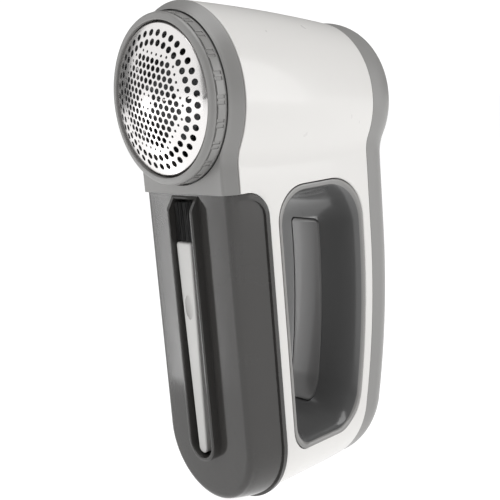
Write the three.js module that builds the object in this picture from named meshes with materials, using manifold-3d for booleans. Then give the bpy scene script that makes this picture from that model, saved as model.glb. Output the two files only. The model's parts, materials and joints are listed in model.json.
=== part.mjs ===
// Hand-held fabric shaver with a loop handle, in millimetres.
// Built with x = 0 on the mirror plane, y = 0 on the front lip of the guard ring
// (the foil faces -Y) and z = 0 at the lowest point; the exported group is shifted
// so that y = 0 lies at mid depth.
import * as THREE from 'three';
import { mergeVertices } from 'three/addons/utils/BufferGeometryUtils.js';
import Module from 'manifold-3d';

const wasm = await Module();
wasm.setup();

// ---- Driving dimensions ----------------------------------------------------
const GAP = 0.3;                  // clearance between pieces that touch
const HEAD_DROP = 131;            // head axis above the centre of the rounded base
const BODY_HALF_WIDTH = 27.8;     // side walls at the front of the body
const BODY_TAPER = 0.9;           // how much narrower the side walls are at the rear
const RIM_PROUD = 1;              // lint catcher rim beyond the side walls
const CATCHER_DRAFT = 3.2;        // lint catcher front inside the side walls
const HEAD_RADIUS = 34.8;         // front flange
const HEAD_RADIUS_REAR = 31.9;
const HEAD_SAG = 5.6;             // drop of the head's centre from front to rear
const HEAD_CROWN = 0.8;           // swell of the head half way back
const NECK_FILLET = 15;
const WALL = 2.2;
const FRAME_FRONT_Y = 6;
const FRONT_SEAM_Y = 11;
const REAR_SEAM_Y = 79.5;
const BACK_Y = 93.5;
const NECK_SEAM_ABOVE_BASE = 96;  // frame and catcher seam above the base centre
const BEND_RADIUS = 290;          // backward curve of the lower handle
const BEND_START_ABOVE_BASE = 71;
const RING_RADIUS = 31;
const RING_DEPTH = 6;
const RING_PADS = 24;
const LIP_RADIUS = 28;            // opening of the ring round the foil
const FOIL_RADIUS = 27.2;
const FOIL_DOME = 6.2;            // how far the foil's centre stands in front of its edge
const FOIL_EDGE_Y = 0.6;
const FOIL_HOLES = 38;
const FOIL_HOLE_RADIUS = 1.2;
const BLADES = 3;
const FAN_VANES = 8;
const SHAFT_RADIUS = 1.2;
const MOTOR_RADIUS = 13.8;
const MOTOR_LENGTH = 32;
const CELL_RADIUS = 7.1;
const CELL_LENGTH = 49.3;
const LOOP_FRONT_Y = 28.6;        // finger loop on the side wall
const LOOP_REAR_Y = 75;
const LOOP_TOP_ABOVE_BASE = 96.2;
const LOOP_BOTTOM_ABOVE_BASE = -7;
const LOOP_RIM = 1;
const LINER_WALL = 1.8;
const CATCHER_FRONT_Y = 7.5;
const CATCHER_REAR_Y = 23.5;
const CATCHER_WALL = 1.6;
const CATCHER_CORNER = 9;
const HOLSTER_WIDTH = 15.6;
const HOLSTER_LENGTH = 104;
const HOLSTER_RISE = 3.7;
const HOLSTER_WALL = 1.5;
const HOLSTER_DEPTH = 3.6;
const BRUSH_WIDTH = 9;
const BRUSH_THICKNESS = 5.4;
const BRUSH_HANDLE_LENGTH = 84;
const BRISTLE_LENGTH = 15;
const TRIGGER_WIDTH = 16;
const TRIGGER_LENGTH = 76;
const TRIGGER_THICKNESS = 3;
const TRIGGER_TRAVEL = 1.5;
const TRIGGER_PROUD = 0.2;
const TRIGGER_SPRING_RADIUS = 2.4;
const TRIGGER_SPRING_WIRE = 0.35;
const DOOR_WIDTH = 36;
const DOOR_LENGTH = 62;
const COVER_WALL = 2;
const EDGE_HEAD = 5;              // rounding of the rear cover at the head
const SCREW_INSET_HEAD = 8.57;    // screws inside the wall of the head
const SCREW_INSET_BASE = 9.93;    // and of the rounded base
const SCREW_SHANK = 1.2;
const SCREW_HEAD = 2.7;
const POST_RADIUS = 3.6;
const POST_LENGTH = 12;
const BOSS_OUTER = 28.2;          // round boss of the front frame that carries the ring
const BOSS_INNER = 24.6;
const RING_SOCKET_Y = 9.4;
const FOIL_THICKNESS = 0.35;
const FOIL_FLANGE = 28.7;
const FOIL_HOLE_RING = 23.2;
const FAN_Y = 13.5;
const FAN_DEPTH = 8;
const FAN_SWEEP = 22.6;
const SHAFT_START_Y = 7.2;
const HOUSING_BACK_Y = 26;
const HOUSING_RADIUS = 24.4;
const CHUTE_HALF_WIDTH = 13;
const CHUTE_FRONT_Y = 13;
const CHUTE_REAR_Y = 21.5;
const CHUTE_WALL = 1.2;
const MOTOR_FRONT_Y = 30;
const TRAY_WALL = 1.5;
const SWITCH_HALF_LENGTH = 6.4;
const SWITCH_DEPTH = 4.6;
const BRUSH_X = -1.2;             // the brush lies a little off centre

// ---- Places that follow from them -------------------------------------------
const BODY_HALF_WIDTH_REAR = BODY_HALF_WIDTH - BODY_TAPER;
const RIM_HALF_WIDTH = BODY_HALF_WIDTH + RIM_PROUD;
const CATCHER_HALF_WIDTH = BODY_HALF_WIDTH - CATCHER_DRAFT;
const EDGE_HANDLE = BODY_HALF_WIDTH_REAR - DOOR_WIDTH / 2 + 0.1; // flat back behind the door
const BASE_Z = RIM_HALF_WIDTH;
const HEAD_Z = BASE_Z + HEAD_DROP;
const NECK_SEAM_Z = BASE_Z + NECK_SEAM_ABOVE_BASE;
const BEND_START_Z = BASE_Z + BEND_START_ABOVE_BASE;
const LOOP_TOP_Z = BASE_Z + LOOP_TOP_ABOVE_BASE;
const LOOP_BOTTOM_Z = BASE_Z + LOOP_BOTTOM_ABOVE_BASE;
const FOIL_FRONT_Y = FOIL_EDGE_Y - FOIL_DOME;
const MID_Y = (FOIL_FRONT_Y + BACK_Y) / 2;
const REAR_HEAD_Z = HEAD_Z - HEAD_SAG;
const SCREW_SPREAD_HEAD = (HEAD_RADIUS_REAR - SCREW_INSET_HEAD) / Math.SQRT2;
const SCREW_SPREAD_BASE = (BODY_HALF_WIDTH_REAR - SCREW_INSET_BASE) / Math.SQRT2;
const LOOP_DEPTH = LOOP_REAR_Y - LOOP_FRONT_Y;
const FAR = 400;

// ---- Materials ----------------------------------------------------------------
const material = (color, roughness, metalness = 0) =>
  new THREE.MeshStandardMaterial({ color, roughness, metalness });
const SATIN_WHITE = material(0xe9e7e4, 0.35);
const FRAME_GREY = material(0x8b8b8a, 0.4);
const LINER_GREY = material(0x5a5a5c, 0.15);
const SMOKE = material(0x3c3b3a, 0.1);
const BRIGHT_STEEL = material(0xd9d6d4, 0.18, 1);
const SPRING_STEEL = material(0xb0b2b5, 0.3, 1);
const ENGINEERING_GREY = material(0x6c6f72, 0.55);
const BLACK_PLASTIC = material(0x1d1d1f, 0.5);
const BRISTLE_BLACK = material(0x121212, 0.8);
const BRASS = material(0xc59a4a, 0.3, 1);
const CELL_WRAP = material(0x4f7f5d, 0.35);
const WIRE_RED = material(0xa8231f, 0.5);

// ---- Solid helpers --------------------------------------------------------------
function toSolid(geometry) {
  const bare = geometry.clone();
  bare.deleteAttribute('normal');
  bare.deleteAttribute('uv');
  const merged = mergeVertices(bare, 1e-5);
  return new wasm.Manifold(new wasm.Mesh({
    numProp: 3,
    vertProperties: new Float32Array(merged.attributes.position.array),
    triVerts: new Uint32Array(merged.index.array),
  }));
}

function toGeometry(solid) {
  const mesh = solid.getMesh();
  const geometry = new THREE.BufferGeometry();
  geometry.setAttribute('position', new THREE.BufferAttribute(new Float32Array(mesh.vertProperties), 3));
  geometry.setIndex(new THREE.BufferAttribute(new Uint32Array(mesh.triVerts), 1));
  return geometry;
}

function cut(geometry, ...tools) {
  return toGeometry(tools.reduce((solid, tool) => solid.subtract(toSolid(tool)), toSolid(geometry)));
}

function join(geometry, ...others) {
  return toGeometry(others.reduce((solid, other) => solid.add(toSolid(other)), toSolid(geometry)));
}

function common(geometry, other) {
  return toGeometry(toSolid(geometry).intersect(toSolid(other)));
}

function box(x0, x1, y0, y1, z0, z1) {
  const geometry = new THREE.BoxGeometry(x1 - x0, y1 - y0, z1 - z0);
  return geometry.translate((x0 + x1) / 2, (y0 + y1) / 2, (z0 + z1) / 2);
}

// A closed profile of [radius, y] points turned about the Y axis through (x, z).
function turned(profile, x, z, segments = 36) {
  const points = profile.map(([radius, y]) => new THREE.Vector2(radius, y));
  return orient(new THREE.LatheGeometry(points, segments)).translate(x, 0, z);
}

function disc(radius, y0, y1, x, z, segments = 32) {
  return turned([[0, y0], [radius, y0], [radius, y1], [0, y1]], x, z, segments);
}

function hoop(inner, outer, y0, y1, x, z, segments = 36) {
  return turned([[inner, y0], [outer, y0], [outer, y1], [inner, y1], [inner, y0]], x, z, segments);
}

// Extrusion of a shape drawn in x and z, from y0 to y1.
function alongY(shape, y0, y1, curveSegments = 10) {
  const geometry = new THREE.ExtrudeGeometry(shape, { depth: y1 - y0, bevelEnabled: false, curveSegments });
  return geometry.rotateX(Math.PI / 2).translate(0, y1, 0);
}

// Extrusion of a shape drawn in y and z, from x0 to x1.
function alongX(shape, x0, x1, curveSegments = 8) {
  const geometry = new THREE.ExtrudeGeometry(shape, { depth: x1 - x0, bevelEnabled: false, curveSegments });
  const turn = new THREE.Matrix4().makeBasis(
    new THREE.Vector3(0, 1, 0), new THREE.Vector3(0, 0, 1), new THREE.Vector3(1, 0, 0));
  return geometry.applyMatrix4(turn).translate(x0, 0, 0);
}

// Turns a closed mesh so that its faces point outwards.
function orient(geometry) {
  const flat = geometry.index ? geometry.toNonIndexed() : geometry;
  const position = flat.attributes.position;
  const [a, b, c] = [new THREE.Vector3(), new THREE.Vector3(), new THREE.Vector3()];
  let volume = 0;
  for (let i = 0; i < position.count; i += 3) {
    a.fromBufferAttribute(position, i);
    b.fromBufferAttribute(position, i + 1);
    c.fromBufferAttribute(position, i + 2);
    volume += a.dot(b.cross(c));
  }
  if (volume < 0) {
    const index = geometry.index.array;
    for (let i = 0; i < index.length; i += 3) {
      [index[i + 1], index[i + 2]] = [index[i + 2], index[i + 1]];
    }
  }
  return geometry;
}

// Solid through a row of closed loops of equal length. With mirrored loops (first
// point on the mirror plane, point i opposite point n - i) the ends are closed by
// level strips, so that a bent end stays smooth; otherwise they are flat caps.
function loft(loops, mirrored = true) {
  const count = loops[0].length;
  const vertices = loops.flat().flatMap((point) => [point.x, point.y, point.z]);
  const index = [];
  const quad = (a, b, c, d) => index.push(a, b, c, a, c, d);
  for (let k = 0; k + 1 < loops.length; k += 1) {
    for (let i = 0; i < count; i += 1) {
      const j = (i + 1) % count;
      quad(k * count + i, k * count + j, (k + 1) * count + j, (k + 1) * count + i);
    }
  }
  for (const [base, flip] of [[0, true], [(loops.length - 1) * count, false]]) {
    for (const [a, b, c] of mirrored ? stripCap(count) : flatCap(loops[base / count])) {
      index.push(base + a, base + (flip ? c : b), base + (flip ? b : c));
    }
  }
  const geometry = new THREE.BufferGeometry();
  geometry.setAttribute('position', new THREE.Float32BufferAttribute(vertices, 3));
  geometry.setIndex(index);
  return orient(geometry);
}

function stripCap(count) {
  const triangles = [];
  const half = count / 2;
  for (let i = 0; i < half; i += 1) {
    const left = (count - i) % count;
    const nextLeft = count - i - 1;
    if (i > 0) triangles.push([i, nextLeft, left]);
    if (i + 1 < half) triangles.push([i, i + 1, nextLeft]);
  }
  return triangles;
}

// Cap of a loop that lies in a plane of constant x.
function flatCap(loop) {
  const outline = loop.map((point) => new THREE.Vector2(point.y, point.z));
  return THREE.ShapeUtils.triangulateShape(outline, []);
}

// ---- Body outline ----------------------------------------------------------------
// How far the rear surfaces move forward at height z.
function rearBend(z) {
  const down = Math.max(0, BEND_START_Z - z);
  return BEND_RADIUS - Math.sqrt(BEND_RADIUS ** 2 - down ** 2);
}

// Half outline of the body seen from the front, from the base centre up the right
// side to the crown: a round base, straight sides, a filleted neck and a round head.
function halfOutline(headRadius, headZ, halfWidth, fillet) {
  const points = [];
  const baseSteps = 9;
  const sideSteps = 6;
  const neckSteps = 4;
  const headSteps = 15;
  for (let i = 0; i < baseSteps; i += 1) {
    const angle = (i / baseSteps) * Math.PI / 2;
    points.push([halfWidth * Math.sin(angle), BASE_Z - halfWidth * Math.cos(angle)]);
  }
  const reach = headRadius + fillet;
  const neckX = halfWidth + fillet;
  const neckZ = headZ - Math.sqrt(reach ** 2 - neckX ** 2);
  const neckAngle = Math.atan2(headZ - neckZ, neckX);
  for (let i = 0; i < sideSteps; i += 1) {
    points.push([halfWidth, BASE_Z + (neckZ - BASE_Z) * i / sideSteps]);
  }
  for (let i = 0; i < neckSteps; i += 1) {
    const angle = neckAngle * i / neckSteps;
    points.push([neckX - fillet * Math.cos(angle), neckZ + fillet * Math.sin(angle)]);
  }
  for (let i = 0; i <= headSteps; i += 1) {
    const angle = -neckAngle + (Math.PI / 2 + neckAngle) * i / headSteps;
    points.push([headRadius * Math.cos(angle), headZ + headRadius * Math.sin(angle)]);
  }
  points[points.length - 1][0] = 0;
  return points;
}

// The body's outline at depth y as a mirrored loop, moved inwards by inset.
function bodyLoop(y, inset, { bent = false, headInset = inset } = {}) {
  const t = (y - FRONT_SEAM_Y) / (REAR_SEAM_Y - FRONT_SEAM_Y);
  const along = THREE.MathUtils.clamp(t, 0, 1);
  const headRadius = THREE.MathUtils.lerp(HEAD_RADIUS, HEAD_RADIUS_REAR, along)
    + HEAD_CROWN * 4 * along * (1 - along);
  const halfWidth = THREE.MathUtils.lerp(BODY_HALF_WIDTH, BODY_HALF_WIDTH_REAR, along);
  const headZ = HEAD_Z - HEAD_SAG * along;
  const half = halfOutline(headRadius - headInset, headZ, halfWidth - inset, NECK_FILLET + inset);
  return mirrorLoop(half).map(([x, z]) => new THREE.Vector3(x, y - (bent ? rearBend(z) : 0), z));
}

function mirrorLoop(half) {
  const left = half.slice(1, -1).reverse().map(([x, z]) => [-x, z]);
  return [...half, ...left];
}

// ---- Main shell -----------------------------------------------------------------
// Side view of the lint catcher's outside, grown by grow; openRear lets the part
// below the rounded corner run on backwards.
function catcherProfile(grow, openRear = false) {
  const rear = CATCHER_REAR_Y + grow;
  const top = NECK_SEAM_Z + grow;
  const corner = CATCHER_CORNER + grow;
  const shape = new THREE.Shape();
  const rearEnd = openRear ? FAR : rear;
  shape.moveTo(-FAR, -FAR);
  shape.lineTo(rearEnd, -FAR);
  if (openRear) shape.lineTo(rearEnd, top - corner);
  shape.lineTo(rear, top - corner);
  shape.absarc(rear - corner, top - corner, corner, 0, Math.PI / 2, false);
  shape.lineTo(-FAR, top);
  return shape;
}

// Outline of the finger loop in y and z, moved inwards by inset; the rear edge
// follows the bend of the handle.
function loopOutline(inset) {
  const front = LOOP_FRONT_Y + inset;
  const rear = LOOP_REAR_Y - inset;
  const top = LOOP_TOP_Z - inset;
  const bottom = LOOP_BOTTOM_Z + inset;
  const rounding = (share) => share * LOOP_DEPTH - inset * 0.4;
  const corners = [
    { y: front, z: bottom, radius: rounding(0.194), start: Math.PI },
    { y: rear, z: bottom, radius: rounding(0.302), start: 1.5 * Math.PI },
    { y: rear, z: top, radius: rounding(0.366), start: 0 },
    { y: front, z: top, radius: rounding(0.302), start: Math.PI / 2 },
  ];
  const arcSteps = 6;
  const sideSteps = 5;
  const points = [];
  corners.forEach(({ y, z, radius, start }, number) => {
    const centreY = y + (y === front ? radius : -radius);
    const centreZ = z + (z === bottom ? radius : -radius);
    for (let i = 0; i <= arcSteps; i += 1) {
      const angle = start + (Math.PI / 2) * i / arcSteps;
      points.push([centreY + radius * Math.cos(angle), centreZ + radius * Math.sin(angle)]);
    }
    if (number === 1) {
      const upperCentreZ = top - corners[2].radius;
      for (let i = 1; i < sideSteps; i += 1) {
        points.push([rear, centreZ + (upperCentreZ - centreZ) * i / sideSteps]);
      }
    }
  });
  const bendShare = (y) => THREE.MathUtils.clamp((y - front) / (rear - front), 0, 1);
  return points.map(([y, z]) => [y - rearBend(z) * bendShare(y), z]);
}

function loopAt(x, inset) {
  return loopOutline(inset).map(([y, z]) => new THREE.Vector3(x, y, z));
}

function screwPlace(side, spread, centreZ, wallRadius) {
  return { x: side * Math.abs(spread), z: centreZ + spread, centreZ, wallRadius };
}

const screwPlaces = [1, -1].flatMap((side) => [
  screwPlace(side, SCREW_SPREAD_HEAD, REAR_HEAD_Z, HEAD_RADIUS_REAR),
  screwPlace(side, -SCREW_SPREAD_BASE, BASE_Z, BODY_HALF_WIDTH_REAR),
]);
const screwSeatY = (z) => BACK_Y - 5.5 - rearBend(z);

// The body from y0 to y1, with its rear end bent.
function bodyBlank(y0, y1, inset) {
  const third = (REAR_SEAM_Y - FRONT_SEAM_Y) / 3;
  const stations = [y0, FRONT_SEAM_Y + third, FRONT_SEAM_Y + 2 * third];
  const straight = stations.map((y) => bodyLoop(y, inset));
  return loft([...straight, bodyLoop(y1, inset, { bent: true })]);
}

function mainShell() {
  const outer = bodyBlank(FRONT_SEAM_Y + GAP, REAR_SEAM_Y, 0);
  const inner = bodyBlank(FRONT_SEAM_Y - 2, REAR_SEAM_Y + 2, WALL);
  const posts = screwPlaces.map(screwPost);
  const hole = loft([loopAt(-FAR, 0), loopAt(FAR, 0)], false);
  return cut(join(cut(outer, inner), ...posts), alongX(catcherProfile(0.4), -FAR, FAR), hole);
}

// Post for a case screw, with a rib that runs out into the shell's wall.
function screwPost({ x, z, centreZ, wallRadius }) {
  const end = REAR_SEAM_Y - 1.5 - rearBend(z);
  const start = end - POST_LENGTH;
  const reach = wallRadius - WALL / 2 - Math.hypot(x, z - centreZ);
  const rib = box(0, reach, start, end - 4, -1, 1).rotateY(-Math.atan2(z - centreZ, x)).translate(x, 0, z);
  const bore = disc(SCREW_SHANK + GAP, start + 1, end + 1, x, z, 12);
  return cut(join(disc(POST_RADIUS, start, end, x, z, 16), rib), bore);
}

// ---- Finger loop liner ------------------------------------------------------------
const LINER_HALF = BODY_HALF_WIDTH - 0.5;
const SIDE_BULGE = 6.6;

// Inset of the liner's inner face at distance x from the mirror plane.
function linerInset(x) {
  const share = Math.abs(x) / LINER_HALF;
  return LOOP_RIM + (SIDE_BULGE - LOOP_RIM) * Math.sqrt(Math.max(0, 1 - share ** 2));
}

function linerBlank(x0, x1, offset, floor) {
  const steps = 7;
  const loops = [];
  for (let i = 0; i <= steps; i += 1) {
    const share = Math.sin((i / steps) * Math.PI / 2);
    const x = x0 + (x1 - x0) * share;
    loops.push(loopAt(x, Math.max(floor, linerInset(x) + offset)));
  }
  return loft(loops, false);
}

const triggerZ0 = BASE_Z + 1.5;
const triggerZ1 = triggerZ0 + TRIGGER_LENGTH;

function triggerWindow(grow) {
  const middle = (LOOP_FRONT_Y + LOOP_REAR_Y) / 2;
  const half = TRIGGER_WIDTH / 2 + grow;
  return box(-half, half, middle, BACK_Y, triggerZ0 - grow, triggerZ1 + grow);
}

function loopLiner(side) {
  const x0 = side * GAP / 2;
  const outer = linerBlank(x0, side * LINER_HALF, -LINER_WALL, GAP);
  const inner = linerBlank(x0 - side, side * (LINER_HALF + 0.01), 0, LOOP_RIM);
  return cut(outer, inner, triggerWindow(GAP));
}

// Squeeze bar that continues the liner's rear face, with two pockets for its springs.
const springHeights = [triggerZ0 + 12, triggerZ1 - 30];
const triggerBackY = (z) => LOOP_REAR_Y - SIDE_BULGE - rearBend(z) + TRIGGER_THICKNESS;

function powerTrigger() {
  const half = TRIGGER_WIDTH / 2;
  const blank = common(barBlank(half + 2, -TRIGGER_THICKNESS), triggerWindow(0));
  const bar = cut(blank, barBlank(half + 4, TRIGGER_PROUD));
  const pockets = springHeights.map((z) => {
    const back = triggerBackY(z);
    return cut(disc(4, back - 1, back + 2.5, 0, z, 16), disc(3.1, back - 0.2, back + 3, 0, z, 16));
  });
  return join(bar, ...pockets);
}

// The space inside the liner's inner face moved by offset, out to x = reach both ways.
function barBlank(reach, offset) {
  const stations = [-1, -0.5, 0, 0.5, 1].map((share) => share * reach);
  return loft(stations.map((x) => loopAt(x, linerInset(x) + offset)), false);
}

// ---- Front frame ------------------------------------------------------------------
function frontFrame() {
  const plateLoop = (y, headRadius, halfWidth) => mirrorLoop(
    halfOutline(headRadius, HEAD_Z, halfWidth, NECK_FILLET)).map(([x, z]) => new THREE.Vector3(x, y, z));
  const edge = 1.1;
  const plate = loft([
    plateLoop(FRAME_FRONT_Y, RING_RADIUS + 0.6, CATCHER_HALF_WIDTH - edge),
    plateLoop(FRAME_FRONT_Y + edge * 0.4, RING_RADIUS + 0.9, CATCHER_HALF_WIDTH - 0.2),
    plateLoop(FRAME_FRONT_Y + edge * 1.4, RING_RADIUS + 1.5, CATCHER_HALF_WIDTH + 0.6),
    plateLoop(FRONT_SEAM_Y - 0.9, HEAD_RADIUS - 0.4, BODY_HALF_WIDTH - 0.5),
    plateLoop(FRONT_SEAM_Y, HEAD_RADIUS, BODY_HALF_WIDTH),
  ]);
  const spigot = cut(
    loft([FRONT_SEAM_Y - 1, FRONT_SEAM_Y + 4].map((y) => bodyLoop(y, WALL + GAP))),
    loft([FRONT_SEAM_Y - 2, FRONT_SEAM_Y + 5].map((y) => bodyLoop(y, WALL + GAP + 1.6))));
  const boss = hoop(BOSS_INNER, BOSS_OUTER, FRAME_FRONT_Y - 0.8, FRONT_SEAM_Y, 0, HEAD_Z, 48);
  const socket = hoop(BOSS_OUTER, RING_RADIUS + 0.6, -1, RING_SOCKET_Y, 0, HEAD_Z, 48);
  const below = box(-FAR, FAR, -FAR, FAR, -FAR, NECK_SEAM_Z + GAP);
  const bore = disc(BOSS_INNER, -5, FRONT_SEAM_Y + 6, 0, HEAD_Z, 48);
  return cut(join(plate, spigot, boss), socket, bore, below);
}

// ---- Head ---------------------------------------------------------------------------
function guardRing() {
  const lip = turned([
    [LIP_RADIUS, 0.25], [LIP_RADIUS + 0.3, 0], [RING_RADIUS - 1.7, 0], [RING_RADIUS - 0.7, 0.35],
    [RING_RADIUS - 0.15, 1], [RING_RADIUS, 1.9], [RING_RADIUS, 2.2], [RING_RADIUS - 1.9, 2.2],
    [RING_RADIUS - 1.9, 1.5], [LIP_RADIUS, 1.5], [LIP_RADIUS, 0.25],
  ], 0, HEAD_Z, 48);
  const grip = new THREE.Shape();
  const relief = 0.55;
  for (let i = 0; i < RING_PADS; i += 1) {
    const start = (i / RING_PADS) * 2 * Math.PI;
    const pitch = 2 * Math.PI / RING_PADS;
    [[0, 0], [0.6, 0], [0.66, relief], [0.94, relief]].forEach(([share, drop]) => {
      const angle = start + share * pitch;
      const radius = RING_RADIUS - drop;
      const point = [radius * Math.cos(angle), HEAD_Z + radius * Math.sin(angle)];
      if (i === 0 && share === 0) grip.moveTo(...point);
      else grip.lineTo(...point);
    });
  }
  const inner = new THREE.Path();
  inner.absarc(0, HEAD_Z, RING_RADIUS - 1.9, 0, 2 * Math.PI, false);
  grip.holes.push(inner);
  const skirtInner = BOSS_OUTER + GAP + 0.2;
  const skirt = hoop(skirtInner, RING_RADIUS - 1, RING_DEPTH - 1, RING_SOCKET_Y - GAP, 0, HEAD_Z, 48);
  return join(lip, alongY(grip, 2.1, RING_DEPTH, 24), skirt);
}

// Height of the foil's outer face over its edge at radius r.
function foilFaceY(radius) {
  const sphere = (FOIL_RADIUS ** 2 + FOIL_DOME ** 2) / (2 * FOIL_DOME);
  return FOIL_FRONT_Y + sphere - Math.sqrt(sphere ** 2 - radius ** 2);
}

function foil() {
  const steps = 4;
  const outer = [];
  const inner = [];
  for (let i = 0; i <= steps; i += 1) {
    const radius = FOIL_RADIUS * i / steps;
    outer.push([radius, foilFaceY(radius)]);
    inner.push([Math.max(0, radius - (i === steps ? FOIL_THICKNESS : 0)), foilFaceY(radius) + FOIL_THICKNESS]);
  }
  const flangeY = 1.9;
  const profile = [
    ...outer, [FOIL_RADIUS, flangeY], [FOIL_FLANGE, flangeY], [FOIL_FLANGE, flangeY + FOIL_THICKNESS],
    [FOIL_RADIUS - FOIL_THICKNESS, flangeY + FOIL_THICKNESS], ...inner.reverse(),
  ];
  const dome = turned(profile, 0, HEAD_Z, FOIL_HOLES);
  const drills = [];
  for (let i = 0; i < FOIL_HOLES; i += 1) {
    const angle = (i / FOIL_HOLES) * 2 * Math.PI;
    const [x, z] = [FOIL_HOLE_RING * Math.cos(angle), HEAD_Z + FOIL_HOLE_RING * Math.sin(angle)];
    drills.push(disc(FOIL_HOLE_RADIUS, FOIL_FRONT_Y - 1, 1.5 + FOIL_EDGE_Y, x, z, 6));
  }
  return cut(dome, ...drills);
}

function foilRetainer() {
  return hoop(25.6, 28.7, 2.6, FRAME_FRONT_Y - 0.8 - GAP, 0, HEAD_Z, 48);
}

// One cutter: a thin upright blade whose front edge runs close behind the foil.
function cutterBlade(number) {
  const clearance = 0.45;
  const root = 6.5;
  const tip = 23.6;
  const shape = new THREE.Shape();
  const steps = 8;
  shape.moveTo(root, 6.2);
  for (let i = 0; i <= steps; i += 1) {
    const radius = root + (tip - root) * i / steps;
    shape.lineTo(radius, foilFaceY(radius) + FOIL_THICKNESS + clearance);
  }
  shape.lineTo(tip, 3.6);
  shape.lineTo(14, 6.2);
  const thickness = 0.7;
  const blade = new THREE.ExtrudeGeometry(shape, { depth: thickness, bevelEnabled: false });
  blade.translate(0, 0, -thickness / 2).rotateY((number / BLADES) * 2 * Math.PI);
  return blade.translate(0, 0, HEAD_Z);
}

// Hub that carries the blades, slotted where they sit.
function bladeCarrier() {
  const front = FOIL_FRONT_Y + FOIL_THICKNESS + 1.2;
  const hub = turned([
    [0, front], [5.4, front], [8.2, 2.6], [15.5, 7], [15.5, 8.4], [6.4, 8.4], [6.4, 11], [SHAFT_RADIUS + 3, 11],
    [SHAFT_RADIUS + 3, 6.8], [0, 6.8],
  ], 0, HEAD_Z, 36);
  const slots = [];
  for (let i = 0; i < BLADES; i += 1) {
    const slot = box(6.2, 26, -10, 6.2 + GAP, -0.65, 0.65).rotateY((i / BLADES) * 2 * Math.PI);
    slots.push(slot.translate(0, 0, HEAD_Z));
  }
  return cut(hub, ...slots);
}

function coil(radius, wire, turns, length, sides = 5, stepsPerTurn = 9) {
  class Helix extends THREE.Curve {
    getPoint(t, target = new THREE.Vector3()) {
      const angle = t * turns * 2 * Math.PI;
      return target.set(radius * Math.cos(angle), t * length, radius * Math.sin(angle));
    }
  }
  const section = new THREE.Shape();
  for (let i = 0; i < sides; i += 1) {
    const angle = (i / sides) * 2 * Math.PI;
    if (i === 0) section.moveTo(wire, 0);
    else section.lineTo(wire * Math.cos(angle), wire * Math.sin(angle));
  }
  return new THREE.ExtrudeGeometry(section, {
    steps: Math.round(turns * stepsPerTurn), bevelEnabled: false, extrudePath: new Helix(),
  });
}

function carrierSpring() {
  return coil(SHAFT_RADIUS + 1.7, 0.35, 3, 3.4).translate(0, 7.4, HEAD_Z);
}

function driveShaft() {
  return disc(SHAFT_RADIUS, SHAFT_START_Y, MOTOR_FRONT_Y + 4, 0, HEAD_Z, 16);
}

function suctionFan() {
  const plate = disc(21.5, FAN_Y + FAN_DEPTH - 1.4, FAN_Y + FAN_DEPTH, 0, HEAD_Z, 48);
  const hub = disc(5.5, FAN_Y - 1, FAN_Y + FAN_DEPTH, 0, HEAD_Z, 24);
  const vanes = [];
  for (let i = 0; i < FAN_VANES; i += 1) {
    const vane = box(4.5, 21, FAN_Y, FAN_Y + FAN_DEPTH - 1, -0.6, 0.6);
    vanes.push(vane.rotateY((i / FAN_VANES) * 2 * Math.PI).translate(0, 0, HEAD_Z));
  }
  return cut(join(plate, hub, ...vanes), disc(SHAFT_RADIUS + GAP, 0, 40, 0, HEAD_Z, 16));
}

// Cup behind the frame in which the fan turns, open at the bottom to the chute.
function fanHousing() {
  const cup = turned([
    [HOUSING_RADIUS, FRONT_SEAM_Y + 1.3], [HOUSING_RADIUS + 1.6, FRONT_SEAM_Y + 1.3],
    [HOUSING_RADIUS + 1.6, HOUSING_BACK_Y], [4, HOUSING_BACK_Y], [4, HOUSING_BACK_Y - 1.8],
    [HOUSING_RADIUS, HOUSING_BACK_Y - 1.8], [HOUSING_RADIUS, FRONT_SEAM_Y + 1.3],
  ], 0, HEAD_Z, 36);
  const outlet = box(-CHUTE_HALF_WIDTH - GAP, CHUTE_HALF_WIDTH + GAP, CHUTE_FRONT_Y - GAP, CHUTE_REAR_Y + GAP,
    HEAD_Z - 40, HEAD_Z - 18);
  return cut(cup, outlet);
}

function lintChute() {
  const top = HEAD_Z - HOUSING_RADIUS + 3.5;
  const bottom = NECK_SEAM_Z + GAP;
  const outer = box(-CHUTE_HALF_WIDTH, CHUTE_HALF_WIDTH, CHUTE_FRONT_Y, CHUTE_REAR_Y, bottom, top);
  return cut(outer, ductBore(bottom - 5, top + 5), disc(FAN_SWEEP, 0, 60, 0, HEAD_Z, 56));
}

// The inside of the chute, which goes on into the lint catcher.
function ductBore(z0, z1) {
  const half = CHUTE_HALF_WIDTH - CHUTE_WALL;
  return box(-half, half, CHUTE_FRONT_Y + CHUTE_WALL, CHUTE_REAR_Y - CHUTE_WALL, z0, z1);
}

// ---- Motor --------------------------------------------------------------------------
function motorMount() {
  const plate = disc(26, HOUSING_BACK_Y + GAP, HOUSING_BACK_Y + 2.3, 0, HEAD_Z, 48);
  const collarEnd = MOTOR_FRONT_Y + 12;
  const collar = hoop(MOTOR_RADIUS + GAP, MOTOR_RADIUS + 2.2, HOUSING_BACK_Y + 2, collarEnd, 0, HEAD_Z);
  return cut(join(plate, collar), disc(4, 20, 40, 0, HEAD_Z, 24));
}

function motorCan() {
  return turned([
    [3.4, MOTOR_FRONT_Y], [MOTOR_RADIUS - 1, MOTOR_FRONT_Y], [MOTOR_RADIUS, MOTOR_FRONT_Y + 1],
    [MOTOR_RADIUS, MOTOR_FRONT_Y + MOTOR_LENGTH - 3], [5, MOTOR_FRONT_Y + MOTOR_LENGTH - 3],
    [5, MOTOR_FRONT_Y + 6], [3.4, MOTOR_FRONT_Y + 6], [3.4, MOTOR_FRONT_Y],
  ], 0, HEAD_Z);
}

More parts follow.
